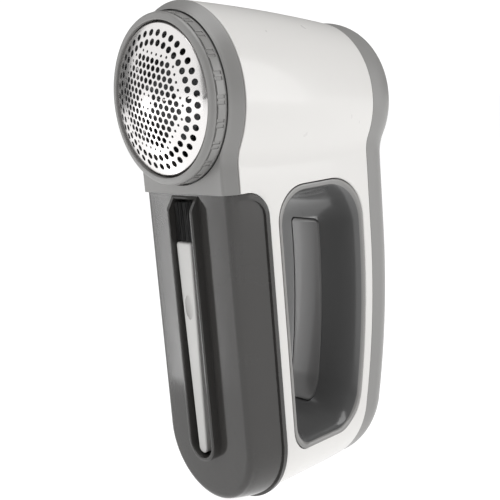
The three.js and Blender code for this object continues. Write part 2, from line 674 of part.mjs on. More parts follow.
function motorBearing() {
  return turned([
    [SHAFT_RADIUS + GAP, MOTOR_FRONT_Y - 1.2], [3, MOTOR_FRONT_Y - 1.2], [3, MOTOR_FRONT_Y + 3],
    [SHAFT_RADIUS + GAP, MOTOR_FRONT_Y + 3], [SHAFT_RADIUS + GAP, MOTOR_FRONT_Y - 1.2],
  ], 0, HEAD_Z, 20);
}

function motorEndCap() {
  const start = MOTOR_FRONT_Y + MOTOR_LENGTH - 3 + GAP;
  const cap = disc(MOTOR_RADIUS - 0.4, start, start + 3, 0, HEAD_Z, 40);
  const tabs = [-7, 7].map((x) => box(x - 1.2, x + 1.2, start + 2.5, start + 6.5, HEAD_Z - 0.4, HEAD_Z + 0.4));
  return join(cap, ...tabs);
}

// ---- Batteries and switch --------------------------------------------------------------
const CELL_Y = BACK_Y - 2.6 - CELL_RADIUS - 0.6;
const CELL_X = CELL_RADIUS + 0.6;
const CELL_Z0 = BASE_Z + 64;

function cell(side) {
  const base = CELL_Z0;
  const up = side > 0;
  const profile = [[0, 0], [CELL_RADIUS, 0], [CELL_RADIUS, CELL_LENGTH], [2.7, CELL_LENGTH],
    [2.7, CELL_LENGTH + 1], [0, CELL_LENGTH + 1]];
  const points = profile.map(([radius, y]) => new THREE.Vector2(radius, y));
  const can = orient(new THREE.LatheGeometry(points, 32)).rotateX(up ? Math.PI / 2 : -Math.PI / 2);
  return can.translate(side * CELL_X, CELL_Y, up ? base : base + CELL_LENGTH + 1);
}

const TRAY_BOTTOM_Z = CELL_Z0 - 5;
const TRAY_TOP_Z = CELL_Z0 + CELL_LENGTH + 1 + 5;
const TRAY_FRONT_Y = CELL_Y - CELL_RADIUS - 0.4 - TRAY_WALL;
const TRAY_REAR_Y = BACK_Y - 2.8;

function batteryTray() {
  const half = CELL_X + CELL_RADIUS + 0.4;
  const outer = box(-half - TRAY_WALL, half + TRAY_WALL, TRAY_FRONT_Y, TRAY_REAR_Y,
    TRAY_BOTTOM_Z - TRAY_WALL, TRAY_TOP_Z + TRAY_WALL);
  const inner = box(-half, half, TRAY_FRONT_Y + TRAY_WALL, TRAY_REAR_Y + 5, TRAY_BOTTOM_Z, TRAY_TOP_Z);
  const rib = box(-0.25, 0.25, TRAY_FRONT_Y + 1, CELL_Y - 2, CELL_Z0, CELL_Z0 + CELL_LENGTH);
  return join(cut(outer, inner), rib);
}

function contactPlate(x0, x1, z0, z1) {
  return box(x0, x1, CELL_Y - 4, CELL_Y + 5, z0, z1);
}

function contactCoil(side, upward) {
  const wire = 0.4;
  const spring = coil(2.8, wire, 3, 3).rotateX(upward ? Math.PI / 2 : -Math.PI / 2);
  const z = upward ? TRAY_BOTTOM_Z + 1.3 : TRAY_TOP_Z - 1.3;
  return spring.translate(side * CELL_X, CELL_Y, z);
}

const SWITCH_Z = triggerZ0 + 34;
const PLUNGER_Z = SWITCH_Z + 2.5;
const switchFrontY = triggerBackY(SWITCH_Z + SWITCH_HALF_LENGTH) + TRIGGER_TRAVEL + 0.4;

function switchPlate() {
  return alongX(bentStrip(8.6, 1.6, triggerZ0 - 2, triggerZ1 - 24), -10, 10);
}

// Side view of a strip that follows the handle's bend at a distance behind the bar.
function bentStrip(offset, thickness, z0, z1) {
  const shape = new THREE.Shape();
  const steps = 6;
  const at = (i) => z0 + (z1 - z0) * i / steps;
  shape.moveTo(triggerBackY(z0) + offset, z0);
  for (let i = 1; i <= steps; i += 1) shape.lineTo(triggerBackY(at(i)) + offset, at(i));
  for (let i = steps; i >= 0; i -= 1) shape.lineTo(triggerBackY(at(i)) + offset + thickness, at(i));
  return shape;
}

function switchBody() {
  const body = box(-3, 3, switchFrontY, switchFrontY + SWITCH_DEPTH,
    SWITCH_Z - SWITCH_HALF_LENGTH, SWITCH_Z + SWITCH_HALF_LENGTH);
  return cut(body, box(-1.3, 1.3, switchFrontY - 1, switchFrontY + SWITCH_DEPTH - 1,
    PLUNGER_Z - 1.3, PLUNGER_Z + 1.3));
}

function switchPlunger() {
  const end = switchFrontY + SWITCH_DEPTH - 1 - TRIGGER_TRAVEL - GAP;
  return box(-1, 1, triggerBackY(PLUNGER_Z) + GAP + 0.1, end, PLUNGER_Z - 1, PLUNGER_Z + 1);
}

// The spring stops short of the bar by the bar's travel, so that the bar can move.
function triggerSpring(z) {
  const wire = TRIGGER_SPRING_WIRE;
  const start = triggerBackY(z + TRIGGER_SPRING_RADIUS) + TRIGGER_TRAVEL + GAP + wire;
  const end = triggerBackY(z) + 8;
  return coil(TRIGGER_SPRING_RADIUS, wire, 4, end - start).translate(0, start, z);
}

// ---- Rear cover and battery door ------------------------------------------------------
const DOOR_Z0 = (TRAY_BOTTOM_Z + TRAY_TOP_Z) / 2 - DOOR_LENGTH / 2;

function coverBlank(start, back, inset) {
  const steps = 4;
  const loops = [bodyLoop(start, inset, { bent: true })];
  for (let i = 0; i <= steps; i += 1) {
    const angle = (i / steps) * Math.PI / 2;
    const pull = 1 - Math.cos(angle);
    const y = back - EDGE_HANDLE * (1 - Math.sin(angle));
    loops.push(bodyLoop(Math.max(y, start + 0.1), inset + EDGE_HANDLE * pull, {
      bent: true, headInset: inset + EDGE_HEAD * pull,
    }));
  }
  return loft(loops);
}

function coverShell() {
  const outer = coverBlank(REAR_SEAM_Y + GAP, BACK_Y, 0.3);
  const inner = coverBlank(REAR_SEAM_Y - 3, BACK_Y - COVER_WALL, COVER_WALL);
  return cut(outer, inner);
}

function doorWindow(gap) {
  const half = DOOR_WIDTH / 2 - gap;
  return box(-half, half, BACK_Y - 8, BACK_Y + 5, DOOR_Z0 + gap, DOOR_Z0 + DOOR_LENGTH - gap);
}

function rearCover() {
  const bossRadius = 4.4;
  const bosses = screwPlaces.map(({ x, z }) => disc(bossRadius, REAR_SEAM_Y - rearBend(z) + 0.6,
    BACK_Y - 1.3 - rearBend(z - bossRadius), x, z, 20));
  const holes = screwPlaces.flatMap(({ x, z }) => [
    disc(SCREW_SHANK + GAP, 50, 110, x, z, 12), disc(SCREW_HEAD + GAP, screwSeatY(z), 110, x, z, 20),
  ]);
  return cut(join(coverShell(), ...bosses), ...holes, doorWindow(0));
}

function batteryDoor() {
  const shellPiece = common(coverShell(), doorWindow(0.35));
  const pull = box(-6, 6, BACK_Y - 0.7, BACK_Y + 1, DOOR_Z0 + DOOR_LENGTH - 6, DOOR_Z0 + DOOR_LENGTH - 4.6);
  return cut(shellPiece, pull);
}

function caseScrew({ x, z }) {
  const seat = screwSeatY(z) + GAP;
  const tip = REAR_SEAM_Y - rearBend(z) - POST_LENGTH + 1;
  const screw = turned([
    [0, tip], [SCREW_SHANK, tip + 1], [SCREW_SHANK, seat], [SCREW_HEAD, seat], [SCREW_HEAD - 0.3, seat + 1.6],
    [0, seat + 1.9],
  ], x, z, 16);
  return cut(screw, ...[0, Math.PI / 2].map((turn) =>
    box(-1.5, 1.5, seat + 0.9, seat + 5, -0.35, 0.35).rotateY(turn).translate(x, 0, z)));
}

// ---- Lint catcher --------------------------------------------------------------------------
// U-shaped outline of the catcher, as a mirrored loop.
function catcherLoop(y, halfWidth, top) {
  const steps = 16;
  const half = [];
  for (let i = 0; i < steps; i += 1) {
    const angle = (i / steps) * Math.PI / 2;
    half.push([halfWidth * Math.sin(angle), BASE_Z - halfWidth * Math.cos(angle)]);
  }
  half.push([halfWidth, BASE_Z], [halfWidth, top], [0, top]);
  return mirrorLoop(half).map(([x, z]) => new THREE.Vector3(x, y, z));
}

// Side wall's half width at depth y.
function catcherSide(y) {
  const start = CATCHER_FRONT_Y + 2;
  const share = THREE.MathUtils.clamp((y - start) / (CATCHER_REAR_Y - 2.4 - start), 0, 1);
  return THREE.MathUtils.lerp(CATCHER_HALF_WIDTH + 0.6, RIM_HALF_WIDTH - 0.9, share ** 0.8);
}

function catcherBlank(inset) {
  const top = NECK_SEAM_Z - inset;
  const front = CATCHER_FRONT_Y + inset;
  const corner = [[0, -2], [0.5, -0.8], [1.2, 0], [2.2, 0.65]];
  const loops = corner.map(([dy, dw]) => catcherLoop(front + dy, CATCHER_HALF_WIDTH + dw - inset, top));
  [13, 17, CATCHER_REAR_Y - 2.4].forEach((y) => loops.push(catcherLoop(y, catcherSide(y) - inset, top)));
  if (inset === 0) {
    loops.push(catcherLoop(CATCHER_REAR_Y - 2.1, RIM_HALF_WIDTH, top));
    loops.push(catcherLoop(CATCHER_REAR_Y, RIM_HALF_WIDTH, top));
  } else {
    loops.push(catcherLoop(CATCHER_REAR_Y + 1, catcherSide(CATCHER_REAR_Y - 2.4) - inset, top));
  }
  return loft(loops);
}

const holsterTopZ = NECK_SEAM_Z - 0.6;
const holsterBottomZ = holsterTopZ - HOLSTER_LENGTH;

function stadium(inset, topZ) {
  const radius = HOLSTER_WIDTH / 2 - inset;
  const centreZ = holsterBottomZ + HOLSTER_WIDTH / 2;
  const shape = new THREE.Shape();
  shape.moveTo(radius, topZ);
  shape.lineTo(-radius, topZ);
  shape.lineTo(-radius, centreZ);
  shape.absarc(0, centreZ, radius, Math.PI, 2 * Math.PI, false);
  return shape;
}

function lintCatcher() {
  const holsterFront = CATCHER_FRONT_Y - HOLSTER_RISE;
  const floorY = CATCHER_FRONT_Y + HOLSTER_DEPTH;
  const rise = alongY(stadium(0, holsterTopZ), holsterFront, floorY + 1.4, 8);
  const slope = new THREE.Shape();
  slope.moveTo(holsterFront - 1, holsterTopZ - 7);
  slope.lineTo(CATCHER_FRONT_Y, holsterTopZ + 0.5);
  slope.lineTo(CATCHER_FRONT_Y - 20, holsterTopZ + 0.5);
  const recess = alongY(stadium(HOLSTER_WALL, FAR), holsterFront - 1, floorY, 8);
  const topLimit = box(-FAR, FAR, -FAR, FAR, NECK_SEAM_Z - CATCHER_WALL, FAR);
  const pocket = cut(recess, topLimit);
  const chuteMouth = ductBore(NECK_SEAM_Z - 5, NECK_SEAM_Z + 5);
  const hollow = common(catcherBlank(CATCHER_WALL), alongX(catcherProfile(-CATCHER_WALL, true), -FAR, FAR));
  const shell = cut(common(catcherBlank(0), alongX(catcherProfile(0), -FAR, FAR)), hollow);
  return cut(join(shell, cut(rise, alongX(slope, -FAR, FAR))), pocket, chuteMouth);
}

function catcherBack() {
  const inner = catcherSide(CATCHER_REAR_Y - 2.4) - CATCHER_WALL - GAP;
  const top = NECK_SEAM_Z - CATCHER_CORNER - GAP;
  return loft([CATCHER_REAR_Y - 1.7, CATCHER_REAR_Y - 0.2].map((y) => catcherLoop(y, inner, top)));
}

// Wall inside the body behind the catcher.
function bulkhead() {
  const y0 = CATCHER_REAR_Y + 0.6;
  return loft([y0, y0 + 1.8].map((y) => catcherLoop(y, BODY_HALF_WIDTH - WALL - 0.7, NECK_SEAM_Z - 10)));
}

// ---- Cleaning brush --------------------------------------------------------------------------
const BRUSH_Y0 = CATCHER_FRONT_Y + HOLSTER_DEPTH - GAP - BRUSH_THICKNESS;
const BRUSH_Y1 = BRUSH_Y0 + BRUSH_THICKNESS;
const brushBottomZ = holsterBottomZ + HOLSTER_WALL + 1;

function brushHandle() {
  const tip = 2.2;
  const half = BRUSH_WIDTH / 2;
  const top = brushBottomZ + BRUSH_HANDLE_LENGTH;
  const shape = new THREE.Shape();
  shape.moveTo(BRUSH_X + half, top);
  shape.lineTo(BRUSH_X - half, top);
  shape.lineTo(BRUSH_X - tip - 0.4, brushBottomZ + tip);
  shape.absarc(BRUSH_X, brushBottomZ + tip, tip, Math.PI, 2 * Math.PI, false);
  const blank = alongY(shape, BRUSH_Y0, BRUSH_Y1, 6);
  const dimple = new THREE.SphereGeometry(1, 16, 8).scale(2.2, 1.2, 4.4);
  dimple.translate(BRUSH_X, BRUSH_Y0, top - 25);
  return cut(blank, dimple);
}

function brushBristles() {
  const bottom = brushBottomZ + BRUSH_HANDLE_LENGTH + GAP;
  const top = Math.min(bottom + BRISTLE_LENGTH, NECK_SEAM_Z - CATCHER_WALL - 0.4);
  const half = BRUSH_WIDTH / 2;
  const shape = new THREE.Shape();
  shape.moveTo(BRUSH_X - half + 0.4, bottom);
  shape.lineTo(BRUSH_X + half - 0.4, bottom);
  shape.lineTo(BRUSH_X + half + 0.6, top);
  shape.lineTo(BRUSH_X - half - 0.6, top);
  return alongY(shape, BRUSH_Y0 + 0.6, BRUSH_Y1 - 0.4);
}

// ---- Assembly ----------------------------------------------------------------------------------
const shaver = new THREE.Group();
shaver.position.set(0, -MID_Y, 0);

function add(name, geometry, finish) {
  const mesh = new THREE.Mesh(geometry, finish);
  mesh.name = name;
  shaver.add(mesh);
}

add('main_shell', mainShell(), SATIN_WHITE);
add('front_frame', frontFrame(), FRAME_GREY);
add('rear_cover', rearCover(), FRAME_GREY);
add('battery_door', batteryDoor(), FRAME_GREY);
add('loop_liner_right', loopLiner(1), LINER_GREY);
add('loop_liner_left', loopLiner(-1), LINER_GREY);
add('bulkhead', bulkhead(), ENGINEERING_GREY);
screwPlaces.forEach((place, i) => add(`case_screw_${i + 1}`, caseScrew(place), SPRING_STEEL));

add('guard_ring', guardRing(), FRAME_GREY);
add('shaving_foil', foil(), BRIGHT_STEEL);
add('foil_retainer', foilRetainer(), ENGINEERING_GREY);

add('blade_carrier', bladeCarrier(), ENGINEERING_GREY);
for (let i = 0; i < BLADES; i += 1) add(`cutter_blade_${i + 1}`, cutterBlade(i), BRIGHT_STEEL);
add('carrier_spring', carrierSpring(), SPRING_STEEL);
add('drive_shaft', driveShaft(), SPRING_STEEL);
add('suction_fan', suctionFan(), BLACK_PLASTIC);

add('fan_housing', fanHousing(), ENGINEERING_GREY);
add('lint_chute', lintChute(), ENGINEERING_GREY);
add('motor_mount', motorMount(), ENGINEERING_GREY);
add('motor_can', motorCan(), SPRING_STEEL);
add('motor_bearing', motorBearing(), BRASS);
add('motor_end_cap', motorEndCap(), BLACK_PLASTIC);

add('battery_tray', batteryTray(), BLACK_PLASTIC);
add('battery_cell_right', cell(1), CELL_WRAP);
add('battery_cell_left', cell(-1), CELL_WRAP);
add('contact_link_top', contactPlate(-12, 12, TRAY_TOP_Z - 0.9, TRAY_TOP_Z - GAP), BRASS);
add('contact_tab_right', contactPlate(2, 13, TRAY_BOTTOM_Z + GAP, TRAY_BOTTOM_Z + 0.9), BRASS);
add('contact_tab_left', contactPlate(-13, -2, TRAY_BOTTOM_Z + GAP, TRAY_BOTTOM_Z + 0.9), BRASS);
add('contact_coil_right', contactCoil(1, true), SPRING_STEEL);
add('contact_coil_left', contactCoil(-1, false), SPRING_STEEL);

add('power_trigger', powerTrigger(), LINER_GREY);
springHeights.forEach((z, i) => add(`trigger_spring_${i + 1}`, triggerSpring(z), SPRING_STEEL));
add('switch_plate', switchPlate(), ENGINEERING_GREY);
add('switch_body', switchBody(), BLACK_PLASTIC);
add('switch_plunger', switchPlunger(), WIRE_RED);

add('lint_catcher', lintCatcher(), SMOKE);
add('catcher_back', catcherBack(), SMOKE);
add('brush_handle', brushHandle(), SATIN_WHITE);
add('brush_bristles', brushBristles(), BRISTLE_BLACK);

export default shaver;
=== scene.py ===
"""A hand-held fabric shaver with a loop handle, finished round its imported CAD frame.

Shapes are worked out in millimetres in the shaver's own frame: x = 0 on the mirror
plane, y = 0 on the lip of the guard ring (the foil faces -Y) and z = 0 at the lowest
point. Solid.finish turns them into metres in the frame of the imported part.
"""

import json
import logging
import math
from collections.abc import Callable, Sequence
from dataclasses import dataclass
from enum import Enum

import bmesh
import bpy
import numpy as np
from mathutils import Matrix, Vector

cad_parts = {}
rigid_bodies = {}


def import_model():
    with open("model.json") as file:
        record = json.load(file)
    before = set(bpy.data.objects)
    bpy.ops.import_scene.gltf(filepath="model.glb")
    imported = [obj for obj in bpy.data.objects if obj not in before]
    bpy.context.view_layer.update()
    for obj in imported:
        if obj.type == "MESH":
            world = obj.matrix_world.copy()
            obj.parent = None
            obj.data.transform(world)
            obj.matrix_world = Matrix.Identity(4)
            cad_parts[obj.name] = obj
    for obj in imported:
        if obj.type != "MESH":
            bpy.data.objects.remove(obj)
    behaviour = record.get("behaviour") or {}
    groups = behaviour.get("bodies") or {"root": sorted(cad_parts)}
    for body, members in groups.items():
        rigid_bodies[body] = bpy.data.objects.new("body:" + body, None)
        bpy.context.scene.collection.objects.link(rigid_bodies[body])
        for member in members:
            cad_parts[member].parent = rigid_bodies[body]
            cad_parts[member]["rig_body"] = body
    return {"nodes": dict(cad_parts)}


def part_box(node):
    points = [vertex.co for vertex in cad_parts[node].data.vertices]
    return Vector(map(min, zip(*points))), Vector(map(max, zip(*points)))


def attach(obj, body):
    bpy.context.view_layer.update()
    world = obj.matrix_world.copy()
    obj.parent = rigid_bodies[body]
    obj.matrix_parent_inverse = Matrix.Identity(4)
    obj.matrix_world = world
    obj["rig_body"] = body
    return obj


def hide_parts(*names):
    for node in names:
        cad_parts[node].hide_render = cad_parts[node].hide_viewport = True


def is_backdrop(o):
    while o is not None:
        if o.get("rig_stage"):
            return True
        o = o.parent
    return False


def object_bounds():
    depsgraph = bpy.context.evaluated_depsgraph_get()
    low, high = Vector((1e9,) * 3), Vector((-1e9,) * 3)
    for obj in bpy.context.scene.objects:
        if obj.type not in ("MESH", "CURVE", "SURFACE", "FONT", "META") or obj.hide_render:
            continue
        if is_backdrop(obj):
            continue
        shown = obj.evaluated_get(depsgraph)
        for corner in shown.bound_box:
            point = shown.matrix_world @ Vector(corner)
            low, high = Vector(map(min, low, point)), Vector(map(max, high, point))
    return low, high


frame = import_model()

LOG = logging.getLogger("fabric_shaver")
MM = 0.001
GAP = 0.3
FAR = 200.0
QUARTER = math.pi / 2
EDGE_STEPS = 4
CORNER_STEPS = 6

Colour = tuple[float, float, float]
Stretch = tuple[float, float, float]
Outline = list[tuple[float, float]]
Loop = list[tuple[float, float, float]]
Rows = list[tuple[float, float]]


# ---- Node trees ---------------------------------------------------------------------


class Value:
    """A number that a node gives out; its operators add Math nodes."""

    def __init__(self, graph: "Graph", socket: bpy.types.NodeSocket) -> None:
        """Keeps the tree and the socket that the number comes from."""
        self.graph = graph
        self.socket = socket

    def _maths(self, operation: str, *terms: object) -> "Value":
        """Adds one Math node.

        Args:
            operation: Name of the Math node's operation.
            terms: Numbers or values for its sockets, in order.

        Returns:
            The node's result.
        """
        node = self.graph.add("ShaderNodeMath", dict(enumerate(terms)), operation=operation)
        return Value(self.graph, node.outputs[0])

    def __add__(self, other: object) -> "Value":
        """Sum of this and another value."""
        return self._maths("ADD", self, other)

    __radd__ = __add__

    def __sub__(self, other: object) -> "Value":
        """This value less another."""
        return self._maths("SUBTRACT", self, other)

    def __rsub__(self, other: object) -> "Value":
        """Another value less this one."""
        return self._maths("SUBTRACT", other, self)

    def __mul__(self, other: object) -> "Value":
        """Product of this and another value."""
        return self._maths("MULTIPLY", self, other)

    __rmul__ = __mul__

    def __truediv__(self, other: object) -> "Value":
        """This value divided by another."""
        return self._maths("DIVIDE", self, other)

    def __rtruediv__(self, other: object) -> "Value":
        """Another value divided by this one."""
        return self._maths("DIVIDE", other, self)

    def __mod__(self, other: object) -> "Value":
        """Remainder of this value, never below 0."""
        return self._maths("FLOORED_MODULO", self, other)

    def __gt__(self, other: object) -> "Value":
        """1 where this value is above the other, else 0."""
        return self._maths("GREATER_THAN", self, other)

    def __lt__(self, other: object) -> "Value":
        """1 where this value is below the other, else 0."""
        return self._maths("LESS_THAN", self, other)

    def rounded(self) -> "Value":
        """The nearest whole number."""
        return self._maths("ROUND", self)

    def __abs__(self) -> "Value":
        """This value without its sign."""
        return self._maths("ABSOLUTE", self)

    def clamped(self) -> "Value":
        """This value held between 0 and 1."""
        return self._maths("MINIMUM", self._maths("MAXIMUM", self, 0.0), 1.0)


class Graph:
    """A node tree that grows by one call for each node."""

    def __init__(self, tree: bpy.types.NodeTree) -> None:
        """Keeps the tree to build in."""
        self.tree = tree

    def add(self, kind: str, inputs: dict | None = None, **settings: object) -> bpy.types.Node:
        """Adds a node.

        Args:
            kind: The node's type.
            inputs: What its sockets take, by name or number: a value, a node or a constant.
            settings: Its properties.

        Returns:
            The new node.
        """
        node = self.tree.nodes.new(kind)
        for name, setting in settings.items():
            setattr(node, name, setting)
        for key, given in (inputs or {}).items():
            self.feed(node.inputs[key], given)
        return node

    def feed(self, socket: bpy.types.NodeSocket, given: object) -> None:
        """Links a value, node or list of nodes to a socket, or sets its constant."""
        if isinstance(given, list):
            for item in given:
                self.feed(socket, item)
        elif isinstance(given, Value):
            self.tree.links.new(given.socket, socket)
        elif isinstance(given, bpy.types.Node):
            self.tree.links.new(given.outputs[0], socket)
        elif isinstance(given, bpy.types.NodeSocket):
            self.tree.links.new(given, socket)
        else:
            socket.default_value = given

    def value(self, node: bpy.types.Node, output: int | str = 0) -> Value:
        """One output of a node as a value to calculate with."""
        return Value(self, node.outputs[output])


class Paint(Graph):
    """The node tree of one material, read in Object coordinates."""

    def __init__(self, name: str) -> None:
        """Starts a material with nothing but its output and coordinates."""
        self.material = bpy.data.materials.new(name)
        self.material.use_nodes = True
        super().__init__(self.material.node_tree)
        self.tree.nodes.clear()
        self.output = self.add("ShaderNodeOutputMaterial")
        self.coordinates = self.add("ShaderNodeTexCoord").outputs["Object"]

    def noise(self, size_mm: float, detail: float = 2.0, stretch: Stretch = (1, 1, 1)) -> Value:
        """Cloudy noise.

        Args:
            size_mm: Width of one cloud in millimetres.
            detail: Number of finer layers.
            stretch: Scale along each axis before the noise is read.

        Returns:
            The noise, about 0 to 1 with its middle at 0.5.
        """
        place = self.add("ShaderNodeMapping", {"Vector": self.coordinates, "Scale": stretch})
        inputs = {"Vector": place, "Scale": 1 / (size_mm * MM), "Detail": detail, "Roughness": 0.55}
        return self.value(self.add("ShaderNodeTexNoise", inputs))

    def pits(self, size_mm: float) -> Value:
        """Distance to the nearest of many scattered points, for a moulded grain."""
        inputs = {"Vector": self.coordinates, "Scale": 1 / (size_mm * MM)}
        return self.value(self.add("ShaderNodeTexVoronoi", inputs))

    def axis(self, name: str) -> Value:
        """One coordinate of the point that is painted."""
        return self.value(self.add("ShaderNodeSeparateXYZ", {0: self.coordinates}), name)

    def blend(self, share: Value | float, first: Colour | Value, second: Colour | Value) -> Value:
        """Mixes two colours.

        Args:
            share: Share of the second colour.
            first: Colour where the share is 0.
            second: Colour where the share is 1.

        Returns:
            The mixed colour.
        """
        colours = [(*c, 1.0) if isinstance(c, tuple) else c for c in (first, second)]
        node = self.add("ShaderNodeMix", {0: share, 6: colours[0], 7: colours[1]}, data_type="RGBA")
        return self.value(node, 2)

    def bump(self, height: Value, depth_mm: float) -> bpy.types.Node:
        """A Bump node whose full height is depth_mm."""
        return self.add("ShaderNodeBump", {"Height": height, "Distance": depth_mm * MM})

    def surface(self, inputs: dict) -> bpy.types.Material:
        """Ends the tree with one Principled shader and returns the material."""
        shader = self.add("ShaderNodeBsdfPrincipled", inputs)
        self.feed(self.output.inputs["Surface"], shader)
        return self.material


def shade(colour: Colour, factor: float) -> Colour:
    """A colour made lighter or darker by a factor."""
    return tuple(min(1.0, channel * factor) for channel in colour)


# ---- Finishes -----------------------------------------------------------------------


@dataclass(frozen=True)
class MouldedPlastic:
    """Opaque moulded plastic with a fine grain and slight drift in colour and gloss."""

    name: str
    slot: str
    colour: Colour
    roughness: float
    grain_mm: float = 0.45
    grain_depth_mm: float = 0.006
    drift: float = 0.06
    coat: float = 0.0

    def tone(self, paint: Paint) -> Value:
        """The colour with its slow drift."""
        cloud = paint.noise(22.0, 3.0)
        return paint.blend(cloud, shade(self.colour, 1 - self.drift), shade(self.colour, 1 + self.drift))

    def material(self) -> bpy.types.Material:
        """The plastic as a node material."""
        paint = Paint(self.name)
        smear = paint.noise(6.0, 2.0, (1, 1, 0.3))
        grain = paint.pits(self.grain_mm) * 0.7 + paint.noise(self.grain_mm * 0.6, 1.0) * 0.3
        return paint.surface({
            "Base Color": self.tone(paint),
            "Roughness": self.roughness + (smear - 0.5) * 0.12,
            "Specular IOR Level": 0.5,
            "Coat Weight": self.coat,
            "Coat Roughness": 0.06,
            "Normal": paint.bump(grain, self.grain_depth_mm),
        })


@dataclass(frozen=True)
class LitRimPlastic(MouldedPlastic):
    """Moulded plastic whose outer rim, far from the mirror plane, is painted lighter: painted light on the
    rim that faces the lamps.
    """

    # Painted light: the rim's lighter colour stands in for the light it catches, against the shaded loop
    # inside.
    lit_rim_colour: Colour = (0.2, 0.2, 0.2)
    rim_x: float = 27.0

    def tone(self, paint: Paint) -> Value:
        """The drifting colour, with the painted lit colour past the rim's edge."""
        lit_rim_share = abs(paint.axis("X")) > self.rim_x * MM
        return paint.blend(lit_rim_share, super().tone(paint), self.lit_rim_colour)


@dataclass(frozen=True)
class SmokePlastic:
    """Dark tinted clear plastic that lets a little light through."""

    name: str
    slot: str
    tint: Colour
    clearness: float
    roughness: float

    def material(self) -> bpy.types.Material:
        """The tinted plastic as a node material."""
        paint = Paint(self.name)
        cloud = paint.noise(30.0, 2.0)
        haze = paint.noise(4.0, 3.0, (1, 1, 0.25))
        ripple = paint.noise(9.0, 1.0)
        return paint.surface({
            "Base Color": paint.blend(cloud, shade(self.tint, 0.93), shade(self.tint, 1.08)),
            "Roughness": self.roughness + (haze - 0.5) * 0.08,
            "IOR": 1.5,
            "Transmission Weight": self.clearness,
            "Normal": paint.bump(ripple, 0.01),
        })


@dataclass(frozen=True)
class Metal:
    """Bare metal with fine drawn lines or polish marks."""

    name: str
    slot: str
    colour: Colour
    roughness: float
    line_mm: float = 0.25
    line_stretch: Stretch = (1.0, 1.0, 0.06)
    line_depth_mm: float = 0.002
    stain: float = 0.08

    def material(self) -> bpy.types.Material:
        """The metal as a node material."""
        paint = Paint(self.name)
        lines = paint.noise(self.line_mm, 2.0, self.line_stretch)
        cloud = paint.noise(8.0, 4.0)
        return paint.surface({
            "Base Color": paint.blend(cloud, shade(self.colour, 1 - self.stain), self.colour),
            "Metallic": 1.0,
            "Roughness": self.roughness + (lines - 0.5) * 0.1 + (cloud - 0.5) * 0.08,
            "Normal": paint.bump(lines, self.line_depth_mm),
        })


@dataclass(frozen=True)
class Bristle:
    """Nylon filament, a little lighter towards its worn tips."""

    name: str
    slot: str
    colour: Colour
    tip_colour: Colour
    roughness: float

    def material(self) -> bpy.types.Material:
        """The filament as a node material."""
        paint = Paint(self.name)
        tuft = paint.noise(1.2, 2.0, (1, 1, 0.05))
        scuff = paint.noise(0.3, 1.0)
        return paint.surface({
            "Base Color": paint.blend(tuft, self.colour, self.tip_colour),
            "Roughness": self.roughness + (tuft - 0.5) * 0.2,
            "Normal": paint.bump(scuff, 0.004),
        })


@dataclass(frozen=True)
class CellSleeve:
    """Shrunk foil sleeve of a round cell: a coloured body and a plain light band."""

    name: str
    slot: str
    body_colour: Colour
    band_colour: Colour
    band_z: float
    band_width: float

    def material(self) -> bpy.types.Material:
        """The sleeve as a node material."""
        paint = Paint(self.name)
        height = paint.axis("Z")
        band = (height > self.band_z) * (height < self.band_z + self.band_width)
        wrinkle = paint.noise(1.6, 3.0, (1, 1, 3))
        cloud = paint.noise(12.0, 2.0)
        body = paint.blend(cloud, shade(self.body_colour, 0.9), shade(self.body_colour, 1.1))
        return paint.surface({
            "Base Color": paint.blend(band, body, self.band_colour),
            "Metallic": 0.35,
            "Roughness": 0.28 + (wrinkle - 0.5) * 0.15,
            "Normal": paint.bump(wrinkle, 0.02),
        })


class Finish(Enum):
    """Every finish on the shaver."""

    WHITE = MouldedPlastic("satin_white_plastic", "satin_white_shell", (0.735, 0.722, 0.703), 0.3,
                           grain_depth_mm=0.003, drift=0.012, coat=0.25)
    # Darker than the white shell as painted shade: the brush lies in the holster's recess.
    BRUSH = MouldedPlastic("brush_white_plastic_painted_shade", "satin_white_shell", (0.58, 0.575, 0.56), 0.36,
                           grain_depth_mm=0.003, drift=0.02)
    FRAME = MouldedPlastic("frame_grey_plastic", "frame_grey", (0.26, 0.256, 0.25), 0.34, drift=0.03)
    # The liner's rim colour is painted light: the flared rim is coloured lighter where it faces the lamps.
    LINER = LitRimPlastic("liner_grey_plastic_painted_lit_rim", "liner_grey", (0.118, 0.118, 0.118), 0.17,
                          grain_depth_mm=0.0015, drift=0.04, coat=0.35,
                          lit_rim_colour=(0.24, 0.235, 0.228), rim_x=26.6)
    BAR = MouldedPlastic("trigger_grey_plastic", "liner_grey", (0.195, 0.192, 0.19), 0.24,
                         grain_depth_mm=0.0015, drift=0.04, coat=0.2)
    SMOKE = SmokePlastic("smoke_tinted_plastic", "smoke_clear", (0.07, 0.067, 0.064), 0.35, 0.13)
    STEEL = Metal("polished_foil_steel", "polished_steel", (0.84, 0.82, 0.81), 0.22,
                  line_stretch=(1.0, 1.0, 1.0), line_depth_mm=0.001, stain=0.03)
    SPRING = Metal("drawn_spring_steel", "spring_steel", (0.55, 0.56, 0.58), 0.28)
    BRASS = Metal("tinned_brass", "brass_contact", (0.78, 0.58, 0.26), 0.28)
    NYLON = MouldedPlastic("natural_acetal", "engineering_plastic", (0.14, 0.145, 0.15), 0.5, drift=0.08)
    BLACK = MouldedPlastic("black_plastic", "black_plastic", (0.012, 0.012, 0.013), 0.42, drift=0.1)
    RED = MouldedPlastic("signal_red_plastic", "signal_red", (0.42, 0.02, 0.015), 0.4, drift=0.08)
    BRISTLE = Bristle("black_nylon_bristle", "nylon_bristle", (0.006, 0.006, 0.006),
                      (0.03, 0.03, 0.03), 0.45)
    CELL = CellSleeve("cell_sleeve", "cell_wrap", (0.05, 0.16, 0.08), (0.6, 0.6, 0.58), 0.132, 0.006)

    def material(self) -> bpy.types.Material:
        """This finish's material, made at its first use."""
        return bpy.data.materials.get(self.value.name) or self.value.material()


# ---- Solids -------------------------------------------------------------------------


